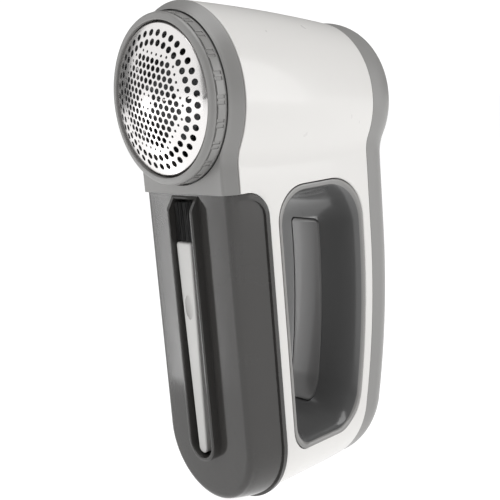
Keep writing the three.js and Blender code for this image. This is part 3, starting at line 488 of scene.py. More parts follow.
class Solid:
    """A closed mesh in millimetres that can be cut, joined and finished."""

    def __init__(self, vertices: Sequence, faces: Sequence) -> None:
        """Makes the mesh and turns its faces outwards."""
        mesh = bpy.data.meshes.new("blank")
        mesh.from_pydata([tuple(v) for v in vertices], [], [tuple(f) for f in faces])
        shape = bmesh.new()
        shape.from_mesh(mesh)
        bmesh.ops.remove_doubles(shape, verts=shape.verts, dist=1e-5)
        bmesh.ops.recalc_face_normals(shape, faces=shape.faces)
        shape.to_mesh(mesh)
        shape.free()
        self.holder = bpy.data.objects.new("blank", mesh)
        bpy.context.scene.collection.objects.link(self.holder)

    @classmethod
    def of_mesh(cls, mesh: bpy.types.Mesh) -> "Solid":
        """Wraps a mesh that is already closed."""
        solid = cls([], [])
        solid._swap(mesh)
        return solid

    def _swap(self, mesh: bpy.types.Mesh) -> None:
        """Puts another mesh in place of this one."""
        old = self.holder.data
        self.holder.modifiers.clear()
        self.holder.data = mesh
        bpy.data.meshes.remove(old)

    def settle(self) -> "Solid":
        """Turns the mesh with its modifiers into a plain mesh."""
        bpy.context.view_layer.update()
        evaluated = self.holder.evaluated_get(bpy.context.evaluated_depsgraph_get())
        self._swap(bpy.data.meshes.new_from_object(evaluated))
        return self

    def _combine(self, operation: str, tools: Sequence["Solid"]) -> "Solid":
        """Joins, cuts or intersects with other solids, which are used up."""
        for tool in tools:
            modifier = self.holder.modifiers.new(operation, "BOOLEAN")
            modifier.operation = operation
            modifier.solver = "MANIFOLD"
            modifier.object = tool.holder
        self.settle()
        for tool in tools:
            tool.discard()
        return self

    def cut(self, *tools: "Solid") -> "Solid":
        """Takes other solids away from this one."""
        return self._combine("DIFFERENCE", tools)

    def join(self, *tools: "Solid") -> "Solid":
        """Adds other solids to this one."""
        return self._combine("UNION", tools)

    def common(self, *tools: "Solid") -> "Solid":
        """Keeps what lies in every one of the solids."""
        return self._combine("INTERSECT", tools)

    def move(self, matrix: Matrix) -> "Solid":
        """Moves the mesh by a matrix."""
        self.holder.data.transform(matrix)
        return self

    def discard(self) -> None:
        """Removes the solid."""
        mesh = self.holder.data
        bpy.data.objects.remove(self.holder)
        bpy.data.meshes.remove(mesh)

    def finish(self, name: str, finish: Finish, nodes: Sequence[str], sharp: float = 32.0,
               weigh: bool = True) -> bpy.types.Object:
        """Turns the solid into a finished piece that stands for CAD nodes.

        Args:
            name: The piece's name.
            finish: Its finish.
            nodes: The CAD nodes it replaces; it rides on the body of the first.
            sharp: Angle in degrees past which an edge stays crisp.
            weigh: Whether large faces set the shading of their corners.

        Returns:
            The piece, with its place in its mesh.
        """
        mesh = self.holder.data
        mesh.set_sharp_from_angle(angle=math.radians(sharp))
        if weigh:
            modifier = self.holder.modifiers.new("weigh", "WEIGHTED_NORMAL")
            modifier.keep_sharp = True
            self.settle()
            mesh = self.holder.data
        mesh.transform(Matrix.Translation((0, DATUM.lip_y * MM, 0)) @ Matrix.Scale(MM, 4))
        mesh.materials.clear()
        mesh.materials.append(finish.material())
        mesh.name = name
        piece = self.holder
        piece.name = name
        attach(piece, frame["nodes"][nodes[0]]["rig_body"])
        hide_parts(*nodes)
        LOG.info("%s stands for %s", name, ", ".join(nodes))
        return piece


def loft(loops: Sequence[Loop], level: bool = True, ring: bool = False) -> Solid:
    """A solid through a row of closed loops.

    Args:
        loops: Closed loops with the same number of points.
        level: Whether the ends are closed by level strips between mirrored points.
        ring: Whether the last loop meets the first, which leaves no ends.

    Returns:
        The solid.
    """
    count = len(loops[0])
    vertices = [point for loop in loops for point in loop]
    faces = []
    bands = len(loops) if ring else len(loops) - 1
    for band in range(bands):
        here = band * count
        there = (band + 1) % len(loops) * count
        for i in range(count):
            j = (i + 1) % count
            faces.append((here + i, here + j, there + j, there + i))
    if not ring:
        for base in (0, (len(loops) - 1) * count):
            faces.extend(end_faces(base, count, level))
    return Solid(vertices, faces)


def end_faces(base: int, count: int, level: bool) -> list[tuple[int, ...]]:
    """Faces that close one end of a loft.

    Args:
        base: Number of the end loop's first vertex.
        count: Vertices in the loop.
        level: Whether level strips close it, and not one flat face.

    Returns:
        The faces.
    """
    if not level:
        return [tuple(base + i for i in range(count))]
    strips = []
    half = count // 2
    for i in range(half):
        corners = [i, i + 1, count - i - 1, (count - i) % count]
        unique = list(dict.fromkeys(corners))
        if len(unique) > 2:
            strips.append(tuple(base + i for i in unique))
    return strips


def clamp(share: float) -> float:
    """A share held between 0 and 1."""
    return min(1.0, max(0.0, share))


def arc(centre: tuple[float, float], radius: float, start: float, end: float, steps: int) -> Outline:
    """Points of an arc with both its ends.

    Args:
        centre: The arc's centre.
        radius: Its radius.
        start: Angle of its first point.
        end: Angle of its last point.
        steps: Steps between them.

    Returns:
        The points.
    """
    angles = [start + (end - start) * i / steps for i in range(steps + 1)]
    return [(centre[0] + radius * math.cos(a), centre[1] + radius * math.sin(a)) for a in angles]


def between(start: tuple[float, float], end: tuple[float, float], steps: int) -> Outline:
    """Points that divide a straight line into steps, without its ends."""
    shares = [i / steps for i in range(1, steps)]
    return [(start[0] + (end[0] - start[0]) * s, start[1] + (end[1] - start[1]) * s) for s in shares]


def edge_rows(start: float, end: float, edge: float, both: bool = True) -> Rows:
    """Depths and insets of a stretch whose rims are rounded over.

    Args:
        start: Depth of the first rim.
        end: Depth of the last rim.
        edge: Radius of the rounding.
        both: Whether the last rim is rounded too.

    Returns:
        Pairs of depth and inset.
    """
    rim = arc((edge, edge), edge, -math.pi, -QUARTER, EDGE_STEPS)
    rows = [(start + along, inset) for along, inset in rim]
    if both:
        return rows + [(end - along, inset) for along, inset in reversed(rim)]
    return [*rows, (end, 0.0)]


def smooth_rows(rows: Sequence[Sequence[float]], steps: int) -> list[list[float]]:
    """Rows on a smooth curve through others.

    Args:
        rows: Rows of numbers that the curve passes through.
        steps: Steps from each row to the next.

    Returns:
        The rows on the curve, with the given ones among them.
    """
    table = np.array(rows, float)
    padded = np.vstack([2 * table[0] - table[1], table, 2 * table[-1] - table[-2]])
    result = []
    for i in range(1, len(padded) - 2):
        before, here, there, after = padded[i - 1:i + 3]
        for step in range(steps):
            t = step / steps
            result.append(0.5 * (2 * here + (there - before) * t
                                 + (2 * before - 5 * here + 4 * there - after) * t ** 2
                                 + (3 * here - before - 3 * there + after) * t ** 3))
    result.append(table[-1])
    return [list(row) for row in result]


def turned(profile: Outline, centre_z: float, centre_x: float = 0.0, segments: int = 96) -> Solid:
    """A profile of (radius, y) turned about the Y axis through a centre.

    Args:
        profile: Points of the profile; it ends on the axis or closes on itself.
        centre_z: Height of the axis.
        centre_x: Sideways place of the axis.
        segments: Steps round the axis.

    Returns:
        The solid.
    """
    closed = profile[0][0] > 0 and profile[-1][0] > 0
    points = profile[:-1] if profile[0] == profile[-1] else profile
    vertices = []
    for i in range(segments):
        angle = 2 * math.pi * i / segments
        vertices += [(centre_x + r * math.cos(angle), y, centre_z + r * math.sin(angle)) for r, y in points]
    count = len(points)
    faces = []
    for i in range(segments):
        here, there = i * count, (i + 1) % segments * count
        for k in range(count if closed else count - 1):
            after = (k + 1) % count
            quad = [here + k, here + after, there + after, there + k]
            if points[k][0] == 0:
                quad.remove(there + k)
            if points[after][0] == 0:
                quad.remove(there + after)
            faces.append(tuple(quad))
    return Solid(vertices, faces)


def rod(radius: float, start: float, end: float, z: float, x: float = 0.0, segments: int = 96) -> Solid:
    """A round bar along y, from one depth to another."""
    return turned([(0, start), (radius, start), (radius, end), (0, end)], z, x, segments)


def hoop(inner: float, outer: float, start: float, end: float, z: float, segments: int = 96) -> Solid:
    """A plain ring along y, from one depth to another."""
    return turned([(inner, start), (outer, start), (outer, end), (inner, end)], z, 0.0, segments)


def bar_of(outline: Outline, start: float, end: float) -> Solid:
    """A straight bar along y with an outline in x and z, from one depth to another."""
    return loft([[(x, depth, z) for x, z in outline] for depth in (start, end)], level=False)


def eased_bar(outline: Callable[[float], Outline], rows: Rows) -> Solid:
    """A bar along y whose outline in x and z is drawn anew for the inset at each depth."""
    return loft([[(x, depth, z) for x, z in outline(inset)] for depth, inset in rows], level=False)


def box(x: tuple[float, float], y: tuple[float, float], z: tuple[float, float]) -> Solid:
    """A block between two values on each axis."""
    return bar_of([(x[0], z[0]), (x[1], z[0]), (x[1], z[1]), (x[0], z[1])], *y)


def rounded_rectangle(half: float, low: float, high: float, radius: float, side_steps: int = 1) -> Outline:
    """Outline of an upright rectangle with round corners, as a mirrored loop.

    Args:
        half: Half of its width.
        low: Height of its bottom.
        high: Height of its top.
        radius: Radius of its corners.
        side_steps: Steps of each side's straight part.

    Returns:
        Points in x and z.
    """
    lower = arc((half - radius, low + radius), radius, -QUARTER, 0.0, CORNER_STEPS)
    upper = arc((half - radius, high - radius), radius, 0.0, QUARTER, CORNER_STEPS)
    side = between(lower[-1], upper[0], side_steps)
    return mirrored([(0.0, low), *lower, *side, *upper, (0.0, high)])


def mirrored(right: Outline) -> Outline:
    """A closed outline from its right half, which starts and ends on the mirror line."""
    return right + [(-x, z) for x, z in reversed(right[1:-1])]


# ---- Places -------------------------------------------------------------------------


@dataclass(frozen=True)
class Datum:
    """Places that every sub-assembly shares, in millimetres."""

    lip_y: float
    head_z: float
    base_z: float
    seam_z: float
    back_y: float
    head_radius: float
    rim_half_width: float

    @classmethod
    def measured(cls) -> "Datum":
        """The places as the CAD frame has them."""
        ring_low, ring_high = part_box("guard_ring")
        catcher_low, catcher_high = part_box("lint_catcher")
        lip = ring_low.y / MM
        half = catcher_high.x / MM
        return cls(
            lip_y=lip,
            head_z=(ring_low.z + ring_high.z) / 2 / MM,
            base_z=catcher_low.z / MM + half,
            seam_z=catcher_high.z / MM,
            back_y=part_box("rear_cover")[1].y / MM - lip,
            head_radius=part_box("main_shell")[1].x / MM,
            rim_half_width=half,
        )


DATUM = Datum.measured()


def node_box(node: str) -> tuple[Vector, Vector]:
    """Lowest and highest corner of a CAD node in the shaver's own frame."""
    low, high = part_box(node)
    lip = Vector((0, DATUM.lip_y, 0))
    return low / MM - lip, high / MM - lip


@dataclass(frozen=True)
class BodyForm:
    """Outline of the shaver's body: round base, straight sides, neck and round head."""

    half_width: float = 27.8
    half_width_rear: float = 26.9
    head_radius_rear: float = 31.9
    head_sag: float = 5.6
    head_crown: float = 0.8
    neck_fillet: float = 15.0
    wall: float = 2.2
    front_seam_y: float = 11.0
    rear_seam_y: float = 79.5
    bend_radius: float = 290.0
    bend_start_above_base: float = 71.0
    base_steps: int = 22
    side_steps: int = 16
    neck_steps: int = 8
    head_steps: int = 36

    def rear_bend(self, z: float) -> float:
        """How far the rear surfaces move forward at height z."""
        down = max(0.0, DATUM.base_z + self.bend_start_above_base - z)
        return self.bend_radius - math.sqrt(self.bend_radius ** 2 - down ** 2)

    def half_outline(self, head_radius: float, head_z: float, half_width: float, fillet: float) -> Outline:
        """Right half of the outline seen from the front, from the base to the crown.

        Args:
            head_radius: Radius of the head.
            head_z: Height of the head's centre.
            half_width: Half width of the straight sides.
            fillet: Radius of the neck.

        Returns:
            Points in x and z.
        """
        base_z = DATUM.base_z
        neck_x = half_width + fillet
        neck_z = head_z - math.sqrt((head_radius + fillet) ** 2 - neck_x ** 2)
        lean = math.atan2(head_z - neck_z, neck_x)
        base = arc((0.0, base_z), half_width, -QUARTER, 0.0, self.base_steps)
        neck = arc((neck_x, neck_z), fillet, math.pi, math.pi - lean, self.neck_steps)
        head = arc((0.0, head_z), head_radius, -lean, QUARTER, self.head_steps)
        side = between(base[-1], neck[0], self.side_steps)
        return [*base, *side, *neck[:-1], *head[:-1], (0.0, head_z + head_radius)]

    def along(self, y: float) -> float:
        """Share of the way from the front seam to the rear seam at a depth."""
        return clamp((y - self.front_seam_y) / (self.rear_seam_y - self.front_seam_y))

    def loop(self, y: float, inset: float, bend: float = 0.0, head_inset: float | None = None) -> Loop:
        """The body's outline at a depth.

        Args:
            y: Depth behind the lip.
            inset: Distance moved inwards.
            bend: Share of the rear bend, 0 to 1.
            head_inset: Distance moved inwards at the head, where it differs.

        Returns:
            A mirrored loop.
        """
        along = self.along(y)
        head = DATUM.head_radius + (self.head_radius_rear - DATUM.head_radius) * along
        head += self.head_crown * 4 * along * (1 - along)
        half = self.half_outline(
            head - (inset if head_inset is None else head_inset),
            DATUM.head_z - self.head_sag * along,
            self.half_width_at(y) - inset,
            self.neck_fillet + inset,
        )
        return [(x, y - bend * self.rear_bend(z), z) for x, z in mirrored(half)]

    def half_width_at(self, y: float) -> float:
        """Half width of the straight sides at a depth."""
        return self.half_width + (self.half_width_rear - self.half_width) * self.along(y)


BODY = BodyForm()


@dataclass(frozen=True)
class LoopForm:
    """The finger loop through the body and the flared wall of its liner."""

    front_y: float = 28.6
    rear_y: float = 75.0
    top_above_base: float = 96.2
    bottom_above_base: float = -7.0
    rim: float = 1.0
    bulge: float = 6.6
    liner_wall: float = 1.8
    liner_half: float = 27.3
    front_bottom_radius: float = 9.0
    rear_bottom_radius: float = 14.0
    rear_top_radius: float = 17.0
    front_top_radius: float = 14.0
    radius_loss: float = 0.4
    arc_steps: int = 14
    side_steps: int = 12

    def outline(self, inset: float) -> Outline:
        """The loop in y and z, with a rear that follows the handle's bend.

        Args:
            inset: Distance moved inwards; each corner's radius loses a share of it.

        Returns:
            Points in y and z.
        """
        front, rear = self.front_y + inset, self.rear_y - inset
        top = DATUM.base_z + self.top_above_base - inset
        bottom = DATUM.base_z + self.bottom_above_base + inset
        corners = [
            (front, bottom, self.front_bottom_radius, 2),
            (rear, bottom, self.rear_bottom_radius, 3),
            (rear, top, self.rear_top_radius, 0),
            (front, top, self.front_top_radius, 1),
        ]
        arcs = []
        for y, z, full, quarter in corners:
            radius = full - inset * self.radius_loss
            centre = (y + (radius if y == front else -radius), z + (radius if z == bottom else -radius))
            arcs.append(arc(centre, radius, QUARTER * quarter, QUARTER * (quarter + 1), self.arc_steps))
        points = []
        for curve, following in zip(arcs, arcs[1:] + arcs[:1]):
            points += [*curve, *between(curve[-1], following[0], self.side_steps)]
        return [(y - BODY.rear_bend(z) * clamp((y - front) / (rear - front)), z) for y, z in points]

    def loop(self, x: float, inset: float) -> Loop:
        """The loop's outline at a sideways place."""
        return [(x, y, z) for y, z in self.outline(inset)]

    def side_loop(self, side: int, depth: float, inset: float) -> Loop:
        """The loop's outline laid on the body's side, sunk into it by depth."""
        return [(side * (BODY.half_width_at(y) - depth), y, z) for y, z in self.outline(inset)]

    def wall_inset(self, x: float) -> float:
        """Inset of the liner's inner face at a distance from the mirror plane."""
        share = min(1.0, abs(x) / self.liner_half)
        return self.rim + (self.bulge - self.rim) * math.sqrt(1 - share ** 2)


LOOP = LoopForm()


# ---- Grown shapes -------------------------------------------------------------------


class Growth(Graph):
    """A Geometry Nodes tree with named inputs, which grows a plain mesh."""

    KINDS = {float: "NodeSocketFloat", int: "NodeSocketInt", bpy.types.Object: "NodeSocketObject"}

    def __init__(self, name: str, inputs: dict[str, type]) -> None:
        """Starts a tree that takes a geometry and the named inputs."""
        super().__init__(bpy.data.node_groups.new(name, "GeometryNodeTree"))
        face = self.tree.interface
        face.new_socket("Geometry", in_out="INPUT", socket_type="NodeSocketGeometry")
        face.new_socket("Geometry", in_out="OUTPUT", socket_type="NodeSocketGeometry")
        self.sockets = {
            label: face.new_socket(label, in_out="INPUT", socket_type=self.KINDS[kind]).identifier
            for label, kind in inputs.items()
        }
        self.start = self.add("NodeGroupInput")
        self.end = self.add("NodeGroupOutput")

    def given(self, label: str) -> Value:
        """A named input of the tree."""
        return self.value(self.start, label)

    def vector(self, x: object = 0.0, y: object = 0.0, z: object = 0.0) -> bpy.types.Node:
        """Three numbers as one vector."""
        return self.add("ShaderNodeCombineXYZ", {0: x, 1: y, 2: z})

    def moved(self, geometry: object, **inputs: object) -> bpy.types.Node:
        """Geometry through a Transform node that takes a Translation or Rotation."""
        return self.add("GeometryNodeTransform", {"Geometry": geometry, **inputs})

    def planted(self, points: object, instance: object, **inputs: object) -> bpy.types.Node:
        """An instance on every point, with its Rotation or Scale."""
        return self.add("GeometryNodeInstanceOnPoints", {"Points": points, "Instance": instance, **inputs})

    def close(self, geometry: object, finish: Finish) -> "Growth":
        """Ends the tree with real geometry in a finish."""
        real = self.add("GeometryNodeRealizeInstances", {"Geometry": geometry})
        dressed = self.add("GeometryNodeSetMaterial", {"Geometry": real, "Material": finish.material()})
        self.feed(self.end.inputs[0], dressed)
        return self

    def grow(self, base: Solid, values: dict[str, object]) -> Solid:
        """Runs the tree on a solid, which it uses up.

        Args:
            base: The solid that the tree starts from.
            values: What each named input takes.

        Returns:
            The grown solid.
        """
        modifier = base.holder.modifiers.new(self.tree.name, "NODES")
        modifier.node_group = self.tree
        for label, value in values.items():
            modifier[self.sockets[label]] = value
        return base.settle()


def round_the_axis(finish: Finish) -> Growth:
    """A tree that repeats its geometry round the Y axis through a height."""
    growth = Growth("round_the_axis", {"Count": int, "Axis height": float})
    count, height = growth.given("Count"), growth.given("Axis height")
    line = growth.add("GeometryNodeMeshLine", {"Count": count, "Offset": (0, 0, 0)})
    turn = growth.value(growth.add("GeometryNodeInputIndex")) * (2 * math.pi) / count
    centred = growth.moved(growth.start, Translation=growth.vector(z=0.0 - height))
    placed = growth.planted(line, centred, Rotation=growth.vector(y=turn))
    return growth.close(growth.moved(placed, Translation=growth.vector(z=height)), finish)


def at_points(finish: Finish) -> Growth:
    """A tree that sets a pattern piece on every vertex of its geometry."""
    growth = Growth("at_points", {"Pattern": bpy.types.Object})
    pattern = growth.add("GeometryNodeObjectInfo", {"Object": growth.given("Pattern")})
    return growth.close(growth.planted(growth.start, pattern.outputs["Geometry"]), finish)


def perforation() -> Growth:
    """A tree that drills the foil: two rings of holes and a staggered field inside them."""
    growth = Growth("perforation", {
        "Ring holes": int, "Outer ring": float, "Inner ring": float, "Ring hole": float,
        "Field radius": float, "Field hole": float, "Small hole": float, "Pitch": float,
        "Blank centre": float, "Depth": float, "Rows": int, "Slant": float,
        "Axis height": float, "Axis depth": float,
    })
    given = growth.given
    drill = growth.add("GeometryNodeMeshCylinder", {"Vertices": 14, "Radius": 1.0, "Depth": given("Depth")})

    def drilled(points: object, radius: object) -> bpy.types.Node:
        """Drills of a radius on points."""
        return growth.planted(points, drill, Scale=growth.vector(radius, radius, 1.0))

    rings = []
    for label, turn in (("Outer ring", 0.3), ("Inner ring", 0.8)):
        circle = growth.add("GeometryNodeMeshCircle", {
            "Vertices": given("Ring holes"), "Radius": given(label),
        })
        angle = 2 * math.pi * turn / given("Ring holes")
        rings.append(drilled(growth.moved(circle, Rotation=growth.vector(z=angle)), given("Ring hole")))

    pitch, rows = given("Pitch"), given("Rows")
    row_pitch = pitch * math.sqrt(0.75)
    grid = growth.add("GeometryNodeMeshGrid", {
        "Size X": pitch * (rows - 1.0), "Size Y": row_pitch * (rows - 1.0),
        "Vertices X": rows, "Vertices Y": rows,
    })
    place = growth.add("GeometryNodeInputPosition")
    height = growth.value(growth.add("ShaderNodeSeparateXYZ", {0: place}), "Y")
    odd = (height / row_pitch).rounded() % 2.0
    offset = growth.vector(x=odd * pitch * 0.5)
    staggered = growth.add("GeometryNodeSetPosition", {"Geometry": grid, "Offset": offset})
    reach = growth.value(growth.add("ShaderNodeVectorMath", {0: place}, operation="LENGTH"), "Value")
    outside = (reach > given("Field radius") + pitch * 0.55) + (reach < given("Blank centre") * 0.5)
    kept = growth.add("GeometryNodeDeleteGeometry", {"Geometry": staggered, "Selection": outside})
    small = ((reach > given("Field radius")) + (reach < given("Blank centre"))).clamped()
    field = drilled(kept, small * given("Small hole") + (1.0 - small) * given("Field hole"))
    slanted = growth.moved(field, Rotation=growth.vector(z=given("Slant")))
    upright = growth.moved(
        growth.add("GeometryNodeJoinGeometry", {"Geometry": [*rings, slanted]}),
        Translation=growth.vector(y=given("Axis depth"), z=given("Axis height")),
        Rotation=(QUARTER, 0.0, 0.0),
    )
    real = growth.add("GeometryNodeRealizeInstances", {"Geometry": upright})
    foil = growth.add("GeometryNodeMeshBoolean", {"Mesh 1": growth.start, "Mesh 2": real},
                      operation="DIFFERENCE", solver="MANIFOLD")
    return growth.close(foil, Finish.STEEL)


def bristle_field() -> Growth:
    """A tree that plants tapered, slightly splayed filaments on its geometry's faces."""
    growth = Growth("bristle_field", {
        "Spacing": float, "Length": float, "Root": float, "Tip": float, "Splay": float, "Seed": int,
    })
    given = growth.given
    roots = growth.add("GeometryNodeDistributePointsOnFaces", {
        "Mesh": growth.start, "Distance Min": given("Spacing"), "Density Max": 40.0, "Seed": given("Seed"),
    }, distribute_method="POISSON")
    top = growth.vector(z=given("Length"))
    line = growth.add("GeometryNodeCurvePrimitiveLine", {"Start": (0, 0, 0), "End": top})
    finer = growth.add("GeometryNodeResampleCurve", {"Curve": line, "Count": 5})
    along = growth.value(growth.add("GeometryNodeSplineParameter"), "Factor")
    radius = given("Root") + (given("Tip") - given("Root")) * along
    tapered = growth.add("GeometryNodeSetCurveRadius", {"Curve": finer, "Radius": radius})
    section = growth.add("GeometryNodeCurvePrimitiveCircle", {"Resolution": 5, "Radius": 1.0})
    filament = growth.add("GeometryNodeCurveToMesh", {
        "Curve": tapered, "Profile Curve": section, "Fill Caps": True,
    })
    if "Scale" in filament.inputs:
        growth.feed(filament.inputs["Scale"], radius)
    splay = given("Splay")
    lean = growth.add("FunctionNodeRandomValue", {
        0: growth.vector(0.0 - splay, 0.0 - splay, 0.0), 1: growth.vector(splay, splay, 6.0),
        "Seed": given("Seed"),
    }, data_type="FLOAT_VECTOR")
    return growth.close(growth.planted(roots, filament, Rotation=lean), Finish.BRISTLE)


def coil(finish: Finish) -> Growth:
    """A tree that winds a wire spring along Z."""
    growth = Growth("coil", {"Turns": float, "Radius": float, "Wire": float, "Length": float})
    given = growth.given
    helix = growth.add("GeometryNodeCurveSpiral", {
        "Resolution": 28, "Rotations": given("Turns"), "Start Radius": given("Radius"),
        "End Radius": given("Radius"), "Height": given("Length"),
    })
    section = growth.add("GeometryNodeCurvePrimitiveCircle", {"Resolution": 10, "Radius": given("Wire")})
    wire = growth.add("GeometryNodeCurveToMesh", {
        "Curve": helix, "Profile Curve": section, "Fill Caps": True,
    })
    return growth.close(wire, finish)


# ---- Casing -------------------------------------------------------------------------


@dataclass
class Casing:
    """White shell, grey front frame, rear cover with its battery door, screws and loop liners."""

    seam_edge: float = 0.4
    frame_front_y: float = 6.0
    catcher_front_half: float = 24.6
    ring_radius: float = 31.0
    boss_outer: float = 28.2
    boss_inner: float = 24.6
    socket_y: float = 9.4
    socket_gap: float = 0.6
    cover_wall: float = 2.0
    edge_handle: float = 9.0
    edge_head: float = 5.0
    screw_spread_head: float = 16.5
    screw_spread_base: float = 12.0
    screw_shank: float = 1.2
    screw_head: float = 2.7
    post_radius: float = 3.6
    post_length: float = 12.0
    door_corner: float = 2.5
    liner_seam: float = 0.02
    bend_start_y: float = 57.0
    loop_ease: float = 0.5
    boss_radius: float = 4.4
    thumb_ribs: int = 5
    thumb_rib_drop: float = 6.0
    thumb_rib_pitch: float = 1.6
    thumb_rib_half: float = 6.5
    thumb_rib_width: float = 0.8
    thumb_rib_depth: float = 0.55

    def build(self) -> None:
        """Makes and dresses every piece of the casing."""
        self.shell()
        self.front_frame()
        self.rear_cover()
        self.battery_door()
        self.screws()
        for side in (1, -1):
            self.loop_liner(side)

    def screw_places(self) -> list[tuple[float, float, float, float]]:
        """x and z of each screw, with the height of the wall's centre and its radius."""
        head_z = DATUM.head_z - BODY.head_sag
        places = []
        for side in (1, -1):
            spread = self.screw_spread_head
            places.append((side * spread, head_z + spread, head_z, BODY.head_radius_rear))
            spread = self.screw_spread_base
            places.append((side * spread, DATUM.base_z - spread, DATUM.base_z, BODY.half_width_rear))
        return places

    def shell(self) -> None:
        """The white shell, open at both ends, with the finger loop and the catcher's notch."""
        start, end = BODY.front_seam_y + GAP, BODY.rear_seam_y
        rims = edge_rows(start, end, self.seam_edge)
        middle = [(y, 0.0) for y in np.linspace(start + 2, end - 2, 22)]
        rows = [*rims[:EDGE_STEPS + 1], *middle, *rims[EDGE_STEPS + 1:]]
        outer = loft([BODY.loop(y, inset, self.bend_share(y)) for y, inset in rows])
        depths = np.linspace(start - 2.3, end + 2, 16)
        inner = loft([BODY.loop(y, BODY.wall, self.bend_share(y)) for y in depths])
        posts = [self.screw_post(*place) for place in self.screw_places()]
        notch = CATCHER.profile_solid([(-FAR, 0.4), (FAR, 0.4)])
        outer.cut(inner).join(*posts).cut(notch, self.loop_cutter())
        outer.finish("white_shell", Finish.WHITE, ["main_shell"])

    def bend_share(self, y: float) -> float:
        """Share of the rear bend that the shell takes at a depth."""
        return clamp((y - self.bend_start_y) / (BODY.rear_seam_y - self.bend_start_y))

    def loop_cutter(self) -> Solid:
        """Cutter for the finger loop that eases the shell's edge round it."""
        ease = self.loop_ease

        def eased_side(side: int) -> list[Loop]:
            """Loops that widen from inside the wall out to the body's side."""
            rows = arc((ease, ease), ease, -math.pi, -QUARTER, 3)
            return [LOOP.side_loop(side, inset + 0.02, -along) for along, inset in rows]

        past = BODY.half_width + 3
        ends = [LOOP.loop(x, -ease) for x in (-past, past)]
        sides = [*reversed(eased_side(-1)), *eased_side(1)]
        return loft([ends[0], *sides, ends[1]], level=False)

    def screw_post(self, x: float, z: float, centre_z: float, wall_radius: float) -> Solid:
        """Post for a case screw, with a rib that runs out into the shell's wall.

        Args:
            x: Sideways place of the screw.
            z: Height of the screw.
            centre_z: Height of the centre that the wall is round about.
            wall_radius: Radius of the wall's outside.

        Returns:
            The post with its bore.
        """
        end = BODY.rear_seam_y - 1.5 - BODY.rear_bend(z)
        start = end - self.post_length
        reach = wall_radius - BODY.wall / 2 - math.hypot(x, z - centre_z)
        turn = Matrix.Rotation(-math.atan2(z - centre_z, x), 4, "Y")
        rib = box((0, reach), (start, end - 4), (-1, 1)).move(Matrix.Translation((x, 0, z)) @ turn)
        post = rod(self.post_radius, start, end, z, x, 32)
        hole = rod(self.screw_shank + GAP, start + 1, end + 1, z, x, 24)
        return post.join(rib).cut(hole)

    def front_frame(self) -> None:
        """The grey frame round the ring, with its spigot into the shell."""
        radius, half = self.ring_radius, self.catcher_front_half
        start, end = self.frame_front_y, BODY.front_seam_y
        rows = smooth_rows([
            (start, radius + self.socket_gap, half - 1.1),
            (start + 0.44, radius + 0.9, half - 0.2),
            (start + 1.54, radius + 1.5, half + 0.6),
            (end - 0.9, DATUM.head_radius - 0.4, BODY.half_width - 0.5),
            (end - 0.25, DATUM.head_radius, BODY.half_width),
        ], 5)
        loops = []
        for y, head, width in rows:
            half_loop = BODY.half_outline(head, DATUM.head_z, width, BODY.neck_fillet)
            loops.append([(x, y, z) for x, z in mirrored(half_loop)])
        loops.append([(x * 0.992, end, z) for x, _, z in loops[-1]])
        plate = loft(loops)
        wall = BODY.wall + GAP
        spigot = loft([BODY.loop(y, wall) for y in (end - 1, end + 4)])
        spigot.cut(loft([BODY.loop(y, wall + 1.6) for y in (end - 2, end + 5)]))
        boss = hoop(self.boss_inner, self.boss_outer, start - 0.8, end, DATUM.head_z)
        socket = hoop(self.boss_outer, radius + self.socket_gap, -1.0, self.socket_y, DATUM.head_z)
        bore = rod(self.boss_inner, -5, end + 6, DATUM.head_z)
        below = box((-FAR, FAR), (-FAR, FAR), (-FAR, DATUM.seam_z + GAP))
        plate.join(spigot, boss).cut(socket, bore, below)
        plate.finish("front_frame_cover", Finish.FRAME, ["front_frame"])

    def cover_blank(self, start: float, back: float, inset: float) -> Solid:
        """The rear cover's form with its rounded edge.

        Args:
            start: Depth of its open side.
            back: Depth of its back.
            inset: Distance moved inwards.

        Returns:
            The solid.
        """
        steps = 10
        loops = [BODY.loop(start, inset, 1.0)]
        for i in range(steps + 1):
            angle = QUARTER * i / steps
            pull = 1 - math.cos(angle)
            y = max(start + 0.1 + i * 0.01, back - self.edge_handle * (1 - math.sin(angle)))
            loops.append(BODY.loop(y, inset + self.edge_handle * pull, 1.0, inset + self.edge_head * pull))
        return loft(loops)

    def cover_shell(self) -> Solid:
        """The hollow rear cover before its bosses and window."""
        wall = self.cover_wall
        outer = self.cover_blank(BODY.rear_seam_y + GAP, DATUM.back_y, 0.3)
        return outer.cut(self.cover_blank(BODY.rear_seam_y - 3, DATUM.back_y - wall, wall))

    def door_window(self, gap: float) -> Solid:
        """Prism of the battery door's window, shrunk by gap."""
        low, high = node_box("battery_door")
        grow = 0.35 - gap
        outline = rounded_rectangle(high.x + grow, low.z - grow, high.z + grow, self.door_corner)
        return bar_of(outline, DATUM.back_y - 8, DATUM.back_y + 5)

    def seat_y(self, z: float) -> float:
        """Depth of the seat of a screw's head at height z."""
        return DATUM.back_y - 5.5 - BODY.rear_bend(z)

    def rear_cover(self) -> None:
        """The grey rear cover with its four counterbored bosses."""
        boss = self.boss_radius
        cover = self.cover_shell()
        bosses, holes = [], []
        for x, z, _, _ in self.screw_places():
            start = BODY.rear_seam_y - BODY.rear_bend(z) + 0.6
            bosses.append(rod(boss, start, DATUM.back_y - 1.3 - BODY.rear_bend(z - boss), z, x, 40))
            for radius, first in ((self.screw_shank + GAP, 50.0), (self.screw_head + GAP, self.seat_y(z))):
                holes.append(rod(radius, first, DATUM.back_y + 16, z, x, 32))
        cover.join(*bosses).cut(*holes, self.door_window(0.0))
        cover.finish("rear_cover_panel", Finish.FRAME, ["rear_cover"])

